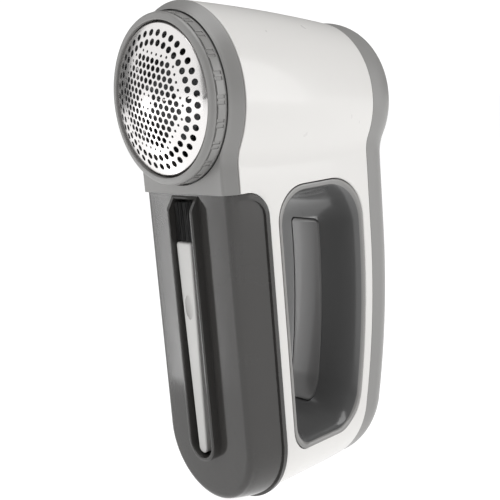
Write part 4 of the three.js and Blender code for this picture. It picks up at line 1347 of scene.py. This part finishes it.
    def battery_door(self) -> None:
        """The battery door with a ribbed thumb pad below its top edge."""
        door = self.cover_shell().common(self.door_window(0.35))
        top = node_box("battery_door")[1].z - self.thumb_rib_drop
        half, width = self.thumb_rib_half, self.thumb_rib_width
        depths = (DATUM.back_y - self.thumb_rib_depth, DATUM.back_y + 1)
        for number in range(self.thumb_ribs):
            low = top - number * self.thumb_rib_pitch
            door.cut(box((-half, half), depths, (low, low + width)))
        door.finish("battery_door_panel", Finish.FRAME, ["battery_door"])

    def screws(self) -> None:
        """Four pan-head screws with a cross recess, set at the seats in the rear cover."""
        tip = -self.post_length - (DATUM.back_y - 5.5 - BODY.rear_seam_y) + 1 - GAP
        head = self.screw_head
        flank = [(0, tip), (self.screw_shank, tip + 1.2), (self.screw_shank, 0), (head, 0)]
        crown = [(head * along, 0.5 + 1.3 * up) for along, up in arc((0.0, 0.0), 1.0, 0.0, QUARTER, 6)[:-1]]
        screw = turned([*flank, *crown, (0, 1.8)], 0.0, 0.0, 40)
        slots = []
        for turn in (0.0, QUARTER):
            slots.append(box((-1.6, 1.6), (0.8, 5), (-0.35, 0.35)).move(Matrix.Rotation(turn, 4, "Y")))
        screw.cut(*slots)
        seats = [(x, self.seat_y(z) + GAP, z) for x, z, _, _ in self.screw_places()]
        points = Solid([], [])
        points.holder.data.from_pydata(seats, [], [])
        grown = at_points(Finish.SPRING).grow(points, {"Pattern": screw.holder})
        screw.discard()
        names = [f"case_screw_{i + 1}" for i in range(len(seats))]
        grown.finish("case_screws", Finish.SPRING, names, weigh=False)

    def loop_liner(self, side: int) -> None:
        """One half of the glossy liner, flared out to a soft rim on the body's side."""
        steps = 16
        wall, half = LOOP.liner_wall, LOOP.liner_half
        reach = half - 0.35 - self.liner_seam
        sines = [math.sin(QUARTER * i / steps) for i in range(steps + 1)]
        stations = [side * (self.liner_seam + reach * sine) for sine in sines]
        outside = [LOOP.loop(x, max(GAP, LOOP.wall_inset(x) - wall)) for x in stations]
        inside = [LOOP.loop(x, LOOP.wall_inset(x)) for x in reversed(stations)]
        lip = [(half - 0.08, 0.42), (half, 0.7), (half, 1.2), (half - 0.1, 1.55)]
        rim = [LOOP.loop(side * x, inset) for x, inset in lip]
        liner = loft([*outside, *rim, *inside], ring=True)
        liner.cut(TRIGGER.window(GAP))
        name = "right" if side > 0 else "left"
        liner.finish(f"finger_loop_liner_{name}", Finish.LINER, [f"loop_liner_{name}"], sharp=40)


# ---- Trigger ------------------------------------------------------------------------


@dataclass
class Trigger:
    """The squeeze bar in the rear wall of the finger loop, with its springs."""

    corner: float = 2.2
    edge: float = 0.8
    proud: float = 0.2
    thickness: float = 3.0
    rows: int = 44
    columns: int = 14
    rib_height: float = 0.12

    def limits(self) -> tuple[float, float, float]:
        """Half width, lowest and highest z of the bar."""
        low, high = node_box("power_trigger")
        return high.x, low.z, high.z

    def window(self, grow: float) -> Solid:
        """Prism of the bar's window in the liner, grown by grow."""
        half, low, high = self.limits()
        outline = rounded_rectangle(half + grow, low - grow, high + grow, self.corner + grow)
        return bar_of(outline, (LOOP.front_y + LOOP.rear_y) / 2, DATUM.back_y)

    def face_y(self, x: float, z: float, offset: float) -> float:
        """Depth of the liner's rear face.

        Args:
            x: Sideways place.
            z: Height.
            offset: Distance moved into the loop.

        Returns:
            The depth.
        """
        inset = LOOP.wall_inset(x) + offset
        front, rear = LOOP.front_y + inset, LOOP.rear_y - inset
        radius = LOOP.rear_bottom_radius - inset * LOOP.radius_loss
        below = max(0.0, DATUM.base_z + LOOP.bottom_above_base + inset + radius - z)
        y = rear - radius + math.sqrt(max(0.0, radius ** 2 - below ** 2))
        return y - BODY.rear_bend(z) * (y - front) / (rear - front)

    def bar(self) -> None:
        """The bar: a curved slab with rounded edges and shallow lengthways ribs."""
        half, low, high = self.limits()
        rings = [(0.0, -self.thickness), (0.0, -self.edge + self.proud - 0.2)]
        rim = arc((self.edge, self.proud - self.edge), self.edge, math.pi, QUARTER, EDGE_STEPS)
        vertices, faces, starts = [], [], []
        for inset, offset in [*rings, *rim]:
            starts.append(len(vertices))
            corner = max(0.3, self.corner - inset)
            outline = rounded_rectangle(half - inset, low + inset, high - inset, corner, self.rows)
            vertices += [(x, self.face_y(x, z, offset), z) for x, z in outline]
        count = len(outline)
        for here, there in zip(starts, starts[1:]):
            for i in range(count):
                j = (i + 1) % count
                faces.append((here + i, here + j, there + j, there + i))
        self.fill(vertices, faces, starts[0], count, -self.thickness, 0.0)
        self.fill(vertices, faces, starts[-1], count, self.proud, self.rib_height)
        bar = self.with_pockets(Solid(vertices, faces))
        bar.finish("squeeze_bar", Finish.BAR, ["power_trigger"], sharp=40)

    def fill(self, vertices: list, faces: list, start: int, count: int, offset: float, rib: float) -> None:
        """Closes a ring of the bar with rows of columns across it.

        Args:
            vertices: The bar's vertices, which the new ones join.
            faces: The bar's faces, which the new ones join.
            start: Number of the ring's first vertex.
            count: Vertices in the ring.
            offset: Distance of the face from the liner's, into the loop.
            rib: Depth of the lengthways ribs.
        """
        half_count = count // 2
        rows = []
        for i in range(1, half_count):
            right, left = vertices[start + i], vertices[start + count - i]
            ribbed = rib if 3 < i < half_count - 3 else 0.0
            row = [start + i]
            for column in range(1, self.columns):
                x = right[0] + (left[0] - right[0]) * column / self.columns
                row.append(len(vertices))
                vertices.append((x, self.face_y(x, right[2], offset - ribbed * (column % 2)), right[2]))
            rows.append([*row, start + count - i])
        for lower, upper in zip(rows, rows[1:]):
            faces.extend(zip(lower, lower[1:], upper[1:], upper))
        faces.append((start, *rows[0]))
        faces.append((start + half_count, *rows[-1]))

    def with_pockets(self, bar: Solid) -> Solid:
        """The bar with the two cups that seat its springs."""
        for number in (1, 2):
            low, high = node_box(f"trigger_spring_{number}")
            z = (low.z + high.z) / 2
            back = self.face_y(0.0, z, -self.thickness)
            bar.join(hoop(3.1, 4, back - 0.6, back + 2.5, z, 32))
        return bar

    def build(self) -> None:
        """Makes the bar and its springs."""
        self.bar()
        for number in (1, 2):
            wind(f"trigger_spring_{number}", 4.0, 0.35)


def wind(node: str, turns: float, wire: float, upright: bool = False) -> None:
    """Winds a spring in the place of a CAD spring.

    Args:
        node: The CAD node of the spring.
        turns: Number of turns.
        wire: Radius of the wire in millimetres.
        upright: Whether its axis is Z and not Y.
    """
    low, high = node_box(node)
    centre = (low + high) / 2
    length = (high.z - low.z if upright else high.y - low.y) - 2 * wire
    radius = (high.x - low.x) / 2 - wire
    spring = coil(Finish.SPRING).grow(Solid([], []), {
        "Turns": turns, "Radius": radius, "Wire": wire, "Length": length,
    })
    if upright:
        place = Matrix.Translation((centre.x, centre.y, low.z + wire))
    else:
        place = Matrix.Translation((centre.x, low.y + wire, centre.z)) @ Matrix.Rotation(-QUARTER, 4, "X")
    spring.move(place).finish(f"wound_{node}", Finish.SPRING, [node], sharp=60, weigh=False)


TRIGGER = Trigger()


# ---- Shaving head -------------------------------------------------------------------


@dataclass
class ShavingHead:
    """Guard ring with its grip pads, and the perforated foil."""

    ring_radius: float = 31.0
    ring_depth: float = 6.0
    pads: int = 24
    relief: float = 0.4
    lip_inner: float = 28.0
    foil_radius: float = 27.2
    foil_dome: float = 6.2
    foil_front_y: float = -5.6
    foil_thickness: float = 0.35
    foil_flange: float = 28.7
    flange_y: float = 1.9
    ring_holes: int = 38
    outer_ring: float = 23.7
    inner_ring: float = 20.4
    ring_hole: float = 1.2
    field_radius: float = 16.6
    field_hole: float = 1.05
    slant: float = 15.5
    small_hole: float = 0.5
    pitch: float = 2.75
    blank_centre: float = 3.2
    grid_rows: int = 15
    drill_length: float = 7.0
    drill_middle: float = 2.4

    def build(self) -> None:
        """Makes the ring and the foil."""
        self.guard_ring()
        self.foil()

    def guard_ring(self) -> None:
        """The ring: a rounded lip, a groove, a band of pads and a skirt."""
        radius, base = self.ring_radius, self.ring_radius - self.relief
        inner = self.lip_inner
        depth, seat = self.ring_depth, self.foil_flange
        lip = [(inner, 0.5), (inner + 0.1, 0.15), (inner + 0.35, 0.0), (29.2, 0.03), (29.9, 0.25),
               (30.4, 0.6), (30.75, 1.1), (30.8, 1.5), (30.35, 1.75), (30.3, 1.95), (base, 2.1)]
        band = [(base, 5.0), (radius - 0.12, 5.1), (radius, 5.25), (radius - 0.05, depth),
                (radius - 1, depth), (radius - 1, 9.1), (seat, 9.1), (seat, depth - 1),
                (seat + 0.4, depth - 1), (seat + 0.4, 1.5), (inner, 1.5)]
        ring = turned(lip + band, DATUM.head_z, segments=144)
        around = {"Count": self.pads, "Axis height": DATUM.head_z}
        ring.join(round_the_axis(Finish.FRAME).grow(self.grip_pad(), around))
        ring.finish("guard_ring_grip", Finish.FRAME, ["guard_ring"], sharp=28)

    def grip_pad(self) -> Solid:
        """One wide pad with stepped ends, and the narrow rib beside it."""
        base = self.ring_radius - self.relief
        pitch = 2 * math.pi / self.pads
        start, end = 2.15, 5.2
        wide = [(0.0, -0.3), (0.01, 0.3), (0.03, self.relief),
                (0.6, self.relief), (0.62, 0.3), (0.63, -0.3)]
        narrow = [(0.76, -0.3), (0.77, 0.3), (0.86, 0.3), (0.87, -0.3)]

        def raised(profile: Outline) -> Solid:
            """A solid with its top and bottom on arcs round the head's axis."""
            points = []
            for (share, rise), (next_share, next_rise) in zip(profile, profile[1:] + profile[:1]):
                steps = 6 if abs(next_share - share) > 0.3 else 1
                for i in range(steps):
                    angle = (share + (next_share - share) * i / steps) * pitch
                    reach = base + rise + (next_rise - rise) * i / steps
                    points.append((reach * math.cos(angle), DATUM.head_z + reach * math.sin(angle)))
            return bar_of(points, start, end)

        return raised(wide).join(raised(narrow))

    def face_y(self, radius: float) -> float:
        """Depth of the foil's outer face at a radius."""
        sphere = self.sphere_radius()
        return self.foil_front_y + sphere - math.sqrt(sphere ** 2 - radius ** 2)

    def sphere_radius(self) -> float:
        """Radius of the sphere that the foil's face lies on."""
        return (self.foil_radius ** 2 + self.foil_dome ** 2) / (2 * self.foil_dome)

    def foil(self) -> None:
        """The polished foil with all its holes."""
        steps, bend, thickness = 16, 0.35, self.foil_thickness
        radius, edge_y = self.foil_radius, self.face_y(self.foil_radius)
        radii = [radius * i / steps for i in range(steps)]
        outer = [(r, self.face_y(r)) for r in [*radii, radius - bend]]
        rim = [(radius - 0.08, edge_y + 0.1), (radius, edge_y + bend)]
        behind = self.flange_y + thickness
        flange = [(radius, self.flange_y), (self.foil_flange, self.flange_y), (self.foil_flange, behind),
                  (radius - thickness, behind), (radius - thickness, edge_y + thickness)]
        inner = [(r, self.face_y(r) + thickness) for r in reversed(radii)]
        profile = [*outer, *rim, *flange, *inner]
        blank = turned(profile, DATUM.head_z, segments=152)
        foil = perforation().grow(blank, {
            "Ring holes": self.ring_holes, "Outer ring": self.outer_ring, "Inner ring": self.inner_ring,
            "Ring hole": self.ring_hole, "Field radius": self.field_radius, "Field hole": self.field_hole,
            "Small hole": self.small_hole, "Pitch": self.pitch, "Blank centre": self.blank_centre,
            "Depth": self.drill_length, "Rows": self.grid_rows, "Slant": math.radians(-self.slant),
            "Axis height": DATUM.head_z, "Axis depth": self.foil_front_y + self.drill_middle,
        })
        self.true_dome(foil)
        foil.finish("perforated_foil", Finish.STEEL, ["shaving_foil"], weigh=False)

    def true_dome(self, foil: Solid) -> None:
        """Lays the shading of the foil's outer face on its sphere, past every hole."""
        mesh = foil.holder.data
        mesh.set_sharp_from_angle(angle=math.radians(32))
        centre = Vector((0.0, self.foil_front_y + self.sphere_radius(), DATUM.head_z))
        normals = [tuple(corner.vector) for corner in mesh.corner_normals]
        for polygon in mesh.polygons:
            spokes = [mesh.vertices[i].co - centre for i in polygon.vertices]
            if all(abs(spoke.length - self.sphere_radius()) < 0.03 for spoke in spokes):
                for corner, spoke in zip(polygon.loop_indices, spokes):
                    normals[corner] = tuple(spoke.normalized())
        mesh.normals_split_custom_set(normals)


# ---- Lint catcher -------------------------------------------------------------------


@dataclass
class LintCatcher:
    """Tinted catcher with a proud rim and the open holster for the brush."""

    front_half: float = 24.6
    front_y: float = 7.5
    rear_y: float = 23.5
    wall: float = 1.6
    corner: float = 9.0
    rim_width: float = 2.1
    rim_rise: float = 0.9
    holster_width: float = 15.6
    holster_length: float = 104.0
    holster_rise: float = 3.7
    holster_wall: float = 1.5
    holster_depth: float = 3.6
    chute_half: float = 11.8
    chute: tuple[float, float] = (14.2, 20.3)

    def profile(self, grow: float, open_rear: bool = False) -> Outline:
        """Side view of the catcher's outside.

        Args:
            grow: Distance moved outwards.
            open_rear: Whether it runs on past the rear below the shoulder.

        Returns:
            Points in y and z.
        """
        rear, top, corner = self.rear_y + grow, DATUM.seam_z + grow, self.corner + grow
        foot = [(FAR, -FAR), (FAR, top - corner)] if open_rear else [(rear, -FAR)]
        shoulder = arc((rear - corner, top - corner), corner, 0.0, QUARTER, 16)
        return [(-FAR, -FAR), *foot, *shoulder, (-FAR, top)]

    def profile_solid(self, rows: Sequence[tuple[float, float]], open_rear: bool = False) -> Solid:
        """The side view carried along x, with its growth given for each x."""
        loops = [[(x, y, z) for y, z in self.profile(grow, open_rear)] for x, grow in rows]
        return loft(loops, level=False)

    def loop(self, y: float, half: float, top: float) -> Loop:
        """U-shaped outline of the catcher.

        Args:
            y: Depth.
            half: Half of its width.
            top: Height of its top.

        Returns:
            A mirrored loop.
        """
        base = arc((0.0, DATUM.base_z), half, -QUARTER, 0.0, 36)
        side = between(base[-1], (half, top), 18)
        return [(x, y, z) for x, z in mirrored([*base, *side, (half, top), (0.0, top)])]

    def side(self, y: float) -> float:
        """Half width of the catcher's side wall at a depth."""
        start = self.front_y + 2
        end = self.rear_y - 2.4
        share = clamp((y - start) / (end - start))
        return self.front_half + 0.6 + (DATUM.rim_half_width - 1.5 - self.front_half) * share ** 0.8

    def blank(self, inset: float, rise: float = 0.0, end: float | None = None) -> Solid:
        """The catcher's form.

        Args:
            inset: Distance moved inwards.
            rise: How far the side stands out towards the rear.
            end: Depth of its rear, where it isn't the catcher's own.

        Returns:
            The solid.
        """
        top = DATUM.seam_z + (2 if rise or inset == 0 else -inset)
        front = self.front_y + inset
        half = self.front_half - inset
        loops = []
        for along, out in arc((0.0, 0.0), 1.0, 0.0, QUARTER, 7):
            loops.append(self.loop(front + 2.2 * (1 - along), half - 2 + 2.65 * out, top))
        rear = self.rear_y if end is None else end
        rows = [(y, 0.0) for y in np.linspace(front + 3, rear - 0.5, 12)]
        for y, softness in [*rows, (rear - 0.15, 0.15), (rear, 0.5)]:
            lift = rise * clamp((y - self.front_y - 3) / 4)
            loops.append(self.loop(y, self.side(y) - inset + lift - (0 if inset else softness), top))
        return loft(loops)

    def stadium(self, inset: float, top: float) -> Outline:
        """Outline of the holster: flat top, round bottom."""
        radius = self.holster_width / 2 - inset
        centre = self.holster_bottom() + self.holster_width / 2
        bottom = arc((0.0, centre), radius, -QUARTER, 0.0, 12)
        return mirrored([*bottom, (radius, top), (0.0, top)])

    def holster_top(self) -> float:
        """Height of the holster's top."""
        return DATUM.seam_z - 0.6

    def holster_bottom(self) -> float:
        """Height of the holster's bottom."""
        return self.holster_top() - self.holster_length

    def build(self) -> None:
        """Makes the catcher."""
        rim_x = DATUM.rim_half_width
        body = self.blank(0.0)
        rim = self.blank(0.0, self.rim_rise)
        rim.cut(self.profile_solid([(-FAR, -self.rim_width), (FAR, -self.rim_width)]))
        edge = [(rim_x - 0.5, 0.0), (rim_x - 0.15, -0.15), (rim_x, -0.5), (rim_x + 5, -0.5)]
        softened = [(-x, grow) for x, grow in reversed(edge)] + edge
        body.join(rim).common(self.profile_solid(softened))
        hollow = self.blank(self.wall, end=self.rear_y + 1)
        hollow.common(self.profile_solid([(-FAR, -self.wall), (FAR, -self.wall)], open_rear=True))
        body.cut(hollow)
        front, top = self.front_y - self.holster_rise, self.holster_top()
        floor = self.front_y + self.holster_depth

        def wall_outline(inset: float) -> Outline:
            """The holster's outside."""
            return self.stadium(inset, top - inset)

        def pocket_outline(inset: float) -> Outline:
            """The holster's inside, up to the catcher's ceiling."""
            return self.stadium(self.holster_wall + inset, DATUM.seam_z - self.wall)

        rise = eased_bar(wall_outline, edge_rows(front, floor + 1.4, 0.6, both=False))
        slope = [(front - 1, top - 7), (self.front_y, top + 0.5), (self.front_y - 20, top + 0.5)]
        rise.cut(loft([[(x, y, z) for y, z in slope] for x in (-FAR, FAR)], level=False))
        body.join(rise)
        ease = [(front - 1, -0.4), (front, -0.4), (front + 0.12, -0.15), (front + 0.4, 0.0), (floor, 0.0)]
        pocket = eased_bar(pocket_outline, ease)
        mouth = box((-self.chute_half, self.chute_half), self.chute, (DATUM.seam_z - 5, DATUM.seam_z + 5))
        body.cut(pocket, mouth)
        body.finish("lint_catcher_bin", Finish.SMOKE, ["lint_catcher"], sharp=30)


CATCHER = LintCatcher()


@dataclass
class CleaningBrush:
    """White brush with a thumb dimple and black bristles, lying in the holster."""

    tip: float = 2.4
    edge: float = 0.7
    spacing: float = 0.42
    filament_root: float = 0.11
    filament_tip: float = 0.07
    margin: float = 0.9
    seed: int = 7

    def build(self) -> None:
        """Makes the handle and the bristles."""
        self.handle()
        self.bristles()

    def handle(self) -> None:
        """The tapered handle with rounded edges and its dimple."""
        low, high = node_box("brush_handle")
        centre = (low.x + high.x) / 2
        half = (high.x - low.x) / 2

        def outline(inset: float) -> Outline:
            """The handle seen from the front."""
            tip, top = self.tip - inset, high.z - inset
            right = arc((0.0, low.z + inset + tip), tip, -QUARTER, 0.0, 8)
            right += [(half - inset, top - 0.6), (half - inset - 0.6, top), (0.0, top)]
            return [(centre + x, z) for x, z in mirrored(right)]

        body = eased_bar(outline, edge_rows(low.y, high.y, self.edge))
        ball = arc((0.0, 0.0), 1.0, -QUARTER, QUARTER, 16)[1:-1]
        dimple = turned([(1e-9, -1), *ball, (1e-9, 1)], 0.0, 0.0, 40)
        dimple.move(Matrix.Translation((centre, low.y, high.z - 25)) @ Matrix.Diagonal((2.4, 1.3, 4.8, 1)))
        body.cut(dimple)
        # The handle's darker white is painted shade of the holster recess.
        body.finish("brush_handle_body", Finish.BRUSH, ["brush_handle"])

    def bristles(self) -> None:
        """Fine filaments planted over the end of the handle."""
        low, high = node_box("brush_bristles")
        length = high.z - low.z - 0.3
        left, right = low.x + self.margin, high.x - self.margin
        front, rear = low.y + self.margin * 0.5, high.y - self.margin * 0.5
        corners = [(left, front, low.z), (right, front, low.z), (right, rear, low.z), (left, rear, low.z)]
        patch = Solid([], [])
        patch.holder.data.from_pydata(corners, [], [(0, 1, 2, 3)])
        grown = bristle_field().grow(patch, {
            "Spacing": self.spacing, "Length": length, "Root": self.filament_root,
            "Tip": self.filament_tip, "Splay": 0.035, "Seed": self.seed,
        })
        grown.finish("brush_bristle_field", Finish.BRISTLE, ["brush_bristles"], sharp=70, weigh=False)


# ---- Inner works --------------------------------------------------------------------


@dataclass
class InnerWorks:
    """Cutter, fan, motor, cells and switch: CAD pieces that keep their form."""

    def finishes(self) -> dict[str, Finish]:
        """The finish of every inner node."""
        table = {
            Finish.NYLON: ["bulkhead", "foil_retainer", "blade_carrier", "fan_housing", "lint_chute",
                           "motor_mount", "switch_plate"],
            Finish.BLACK: ["suction_fan", "motor_end_cap", "battery_tray", "switch_body"],
            Finish.STEEL: ["cutter_blade_1", "cutter_blade_2", "cutter_blade_3"],
            Finish.SPRING: ["drive_shaft", "motor_can"],
            Finish.BRASS: ["motor_bearing", "contact_link_top", "contact_tab_right", "contact_tab_left"],
            Finish.CELL: ["battery_cell_right", "battery_cell_left"],
            Finish.RED: ["switch_plunger"],
            Finish.SMOKE: ["catcher_back"],
        }
        return {node: finish for finish, nodes in table.items() for node in nodes}

    def build(self) -> None:
        """Makes a merged, smooth-shaded copy of each inner node and winds the springs."""
        for node, finish in self.finishes().items():
            mesh = frame["nodes"][node].data.copy()
            mesh.transform(Matrix.Translation((0, -DATUM.lip_y, 0)) @ Matrix.Scale(1 / MM, 4))
            shape = bmesh.new()
            shape.from_mesh(mesh)
            bmesh.ops.remove_doubles(shape, verts=shape.verts, dist=1e-4)
            bmesh.ops.dissolve_limit(shape, angle_limit=math.radians(0.5), verts=shape.verts,
                                     edges=shape.edges)
            shape.to_mesh(mesh)
            shape.free()
            Solid.of_mesh(mesh).finish(f"{node}_piece", finish, [node], sharp=30)
        wind("carrier_spring", 3.0, 0.35)
        wind("contact_coil_right", 3.0, 0.4, upright=True)
        wind("contact_coil_left", 3.0, 0.4, upright=True)


# ---- Studio -------------------------------------------------------------------------


@dataclass
class Studio:
    """Camera, pale sweep and soft lights."""

    aim: tuple[float, float, float] = (-0.01535, 0.00618, 0.09463)
    distance: float = 0.36
    azimuth: float = 49.53
    elevation: float = 10.353
    roll: float = -4.719
    lens: float = 61.2
    floor_reach: float = 6.0

    def camera(self) -> None:
        """The camera, turned a little about its own axis."""
        azimuth, elevation = math.radians(self.azimuth), math.radians(self.elevation)
        back = Vector((math.sin(azimuth) * math.cos(elevation), -math.cos(azimuth) * math.cos(elevation),
                       math.sin(elevation)))
        level = Vector((math.cos(azimuth), math.sin(azimuth), 0.0))
        roll = Matrix.Rotation(math.radians(self.roll), 3, back)
        right = roll @ level
        up = back.cross(right)
        camera = bpy.data.objects.new("camera", bpy.data.cameras.new("camera"))
        camera.data.lens = self.lens
        camera.data.sensor_width = 36.0
        camera.data.clip_start = 0.01
        turn = Matrix((right, up, back)).transposed().to_4x4()
        camera.matrix_world = Matrix.Translation(Vector(self.aim) + back * self.distance) @ turn
        bpy.context.scene.collection.objects.link(camera)
        bpy.context.scene.camera = camera

    def sheet(self, name: str, corners: Loop, greys: tuple[float, float], inputs: dict) -> None:
        """A flat mottled sheet that glows and belongs to the studio.

        Args:
            name: The sheet's name.
            corners: Its four corners in metres.
            greys: Its darkest and lightest grey.
            inputs: What its shader takes besides its colour.
        """
        mesh = bpy.data.meshes.new(name)
        mesh.from_pydata(corners, [], [(0, 1, 2, 3)])
        paint = Paint(f"{name}_surface")
        dark, light = ((grey, grey, grey) for grey in greys)
        colour = paint.blend(paint.noise(60.0, 3.0), dark, light)
        mesh.materials.append(paint.surface({
            "Base Color": colour, "Emission Color": (1.0, 1.0, 1.0, 1.0), **inputs,
        }))
        sheet = bpy.data.objects.new(name, mesh)
        bpy.context.scene.collection.objects.link(sheet)
        sheet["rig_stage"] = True

    def floor(self) -> None:
        """A wide pale floor just under the shaver."""
        reach, low = self.floor_reach, -0.0004
        corners = [(-reach, -reach, low), (reach, -reach, low), (reach, reach, low), (-reach, reach, low)]
        inputs = {"Roughness": 0.9, "Specular IOR Level": 0.1, "Emission Strength": 0.98}
        self.sheet("floor", corners, (0.2, 0.22), inputs)

    def floor_glow(self) -> None:
        """A long bright panel on the floor that the catcher's front mirrors beside the holster."""
        near, far = -0.12, -3.0
        corners = [(-0.145, near, 0.0), (-0.102, near, 0.0), (-3.95, far, 0.0), (-4.45, far, 0.0)]
        self.sheet("floor_glow", corners, (0.8, 0.82), {"Emission Strength": 4.0})

    def light(self, name: str, azimuth: float, elevation: float, width: float, height: float, power: float,
              distance: float = 1.2) -> None:
        """A soft box that faces the shaver.

        Args:
            name: The light's name.
            azimuth: Where it stands, in degrees from -Y towards +X.
            elevation: Its height in degrees.
            width: Its width in metres.
            height: Its height in metres.
            power: Its power in watts.
            distance: Its distance in metres.
        """
        turn, lift = math.radians(azimuth), math.radians(elevation)
        away = Vector((math.sin(turn) * math.cos(lift), -math.cos(turn) * math.cos(lift), math.sin(lift)))
        lamp = bpy.data.lights.new(name, "AREA")
        lamp.shape = "RECTANGLE"
        lamp.size = width
        lamp.size_y = height
        lamp.energy = power
        holder = bpy.data.objects.new(name, lamp)
        holder.location = Vector((0, 0, 0.1)) + away * distance
        holder.rotation_mode = "QUATERNION"
        holder.rotation_quaternion = away.to_track_quat("Z", "Y")
        bpy.context.scene.collection.objects.link(holder)

    def world(self) -> None:
        """A white surround that lights the shaver less than it shows."""
        world = bpy.data.worlds.new("surround")
        world.use_nodes = True
        bpy.context.scene.world = world
        graph = Graph(world.node_tree)
        graph.tree.nodes.clear()
        seen = graph.add("ShaderNodeLightPath").outputs["Is Camera Ray"]
        soft = graph.add("ShaderNodeBackground", {"Color": (1, 1, 1, 1), "Strength": 0.15})
        white = graph.add("ShaderNodeBackground", {"Color": (1, 1, 1, 1), "Strength": 1.1})
        mixed = graph.add("ShaderNodeMixShader", {0: seen, 1: soft, 2: white})
        graph.add("ShaderNodeOutputWorld", {"Surface": mixed})

    def build(self) -> None:
        """Sets up the floor, the surround and the lights."""
        bpy.context.scene.view_settings.view_transform = "Standard"
        self.floor()
        self.world()
        self.light("key_box", -38, 22, 1.8, 1.4, 6.8)
        self.light("side_box", 118, 15, 0.9, 0.9, 6.8)
        self.light("top_box", 40, 82, 1.0, 1.0, 9)
        self.floor_glow()


# ---- Build --------------------------------------------------------------------------


def write_sizes(frame_box: tuple[Vector, Vector]) -> None:
    """Gathers the CAD model's box and the finished model's box, and logs the finished one."""
    boxes = {"frame": frame_box, "finished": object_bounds()}
    sizes = {name: [list(corner) for corner in corners] for name, corners in boxes.items()}
    LOG.info("finished box %s", sizes["finished"])


def main() -> None:
    """Builds the shaver and its studio in order."""
    logging.basicConfig(level=logging.INFO, format="%(message)s")
    frame_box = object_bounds()
    studio = Studio()
    studio.camera()
    Casing().build()
    TRIGGER.build()
    ShavingHead().build()
    CATCHER.build()
    CleaningBrush().build()
    InnerWorks().build()
    studio.build()
    write_sizes(frame_box)


if __name__ == "__main__":
    main()
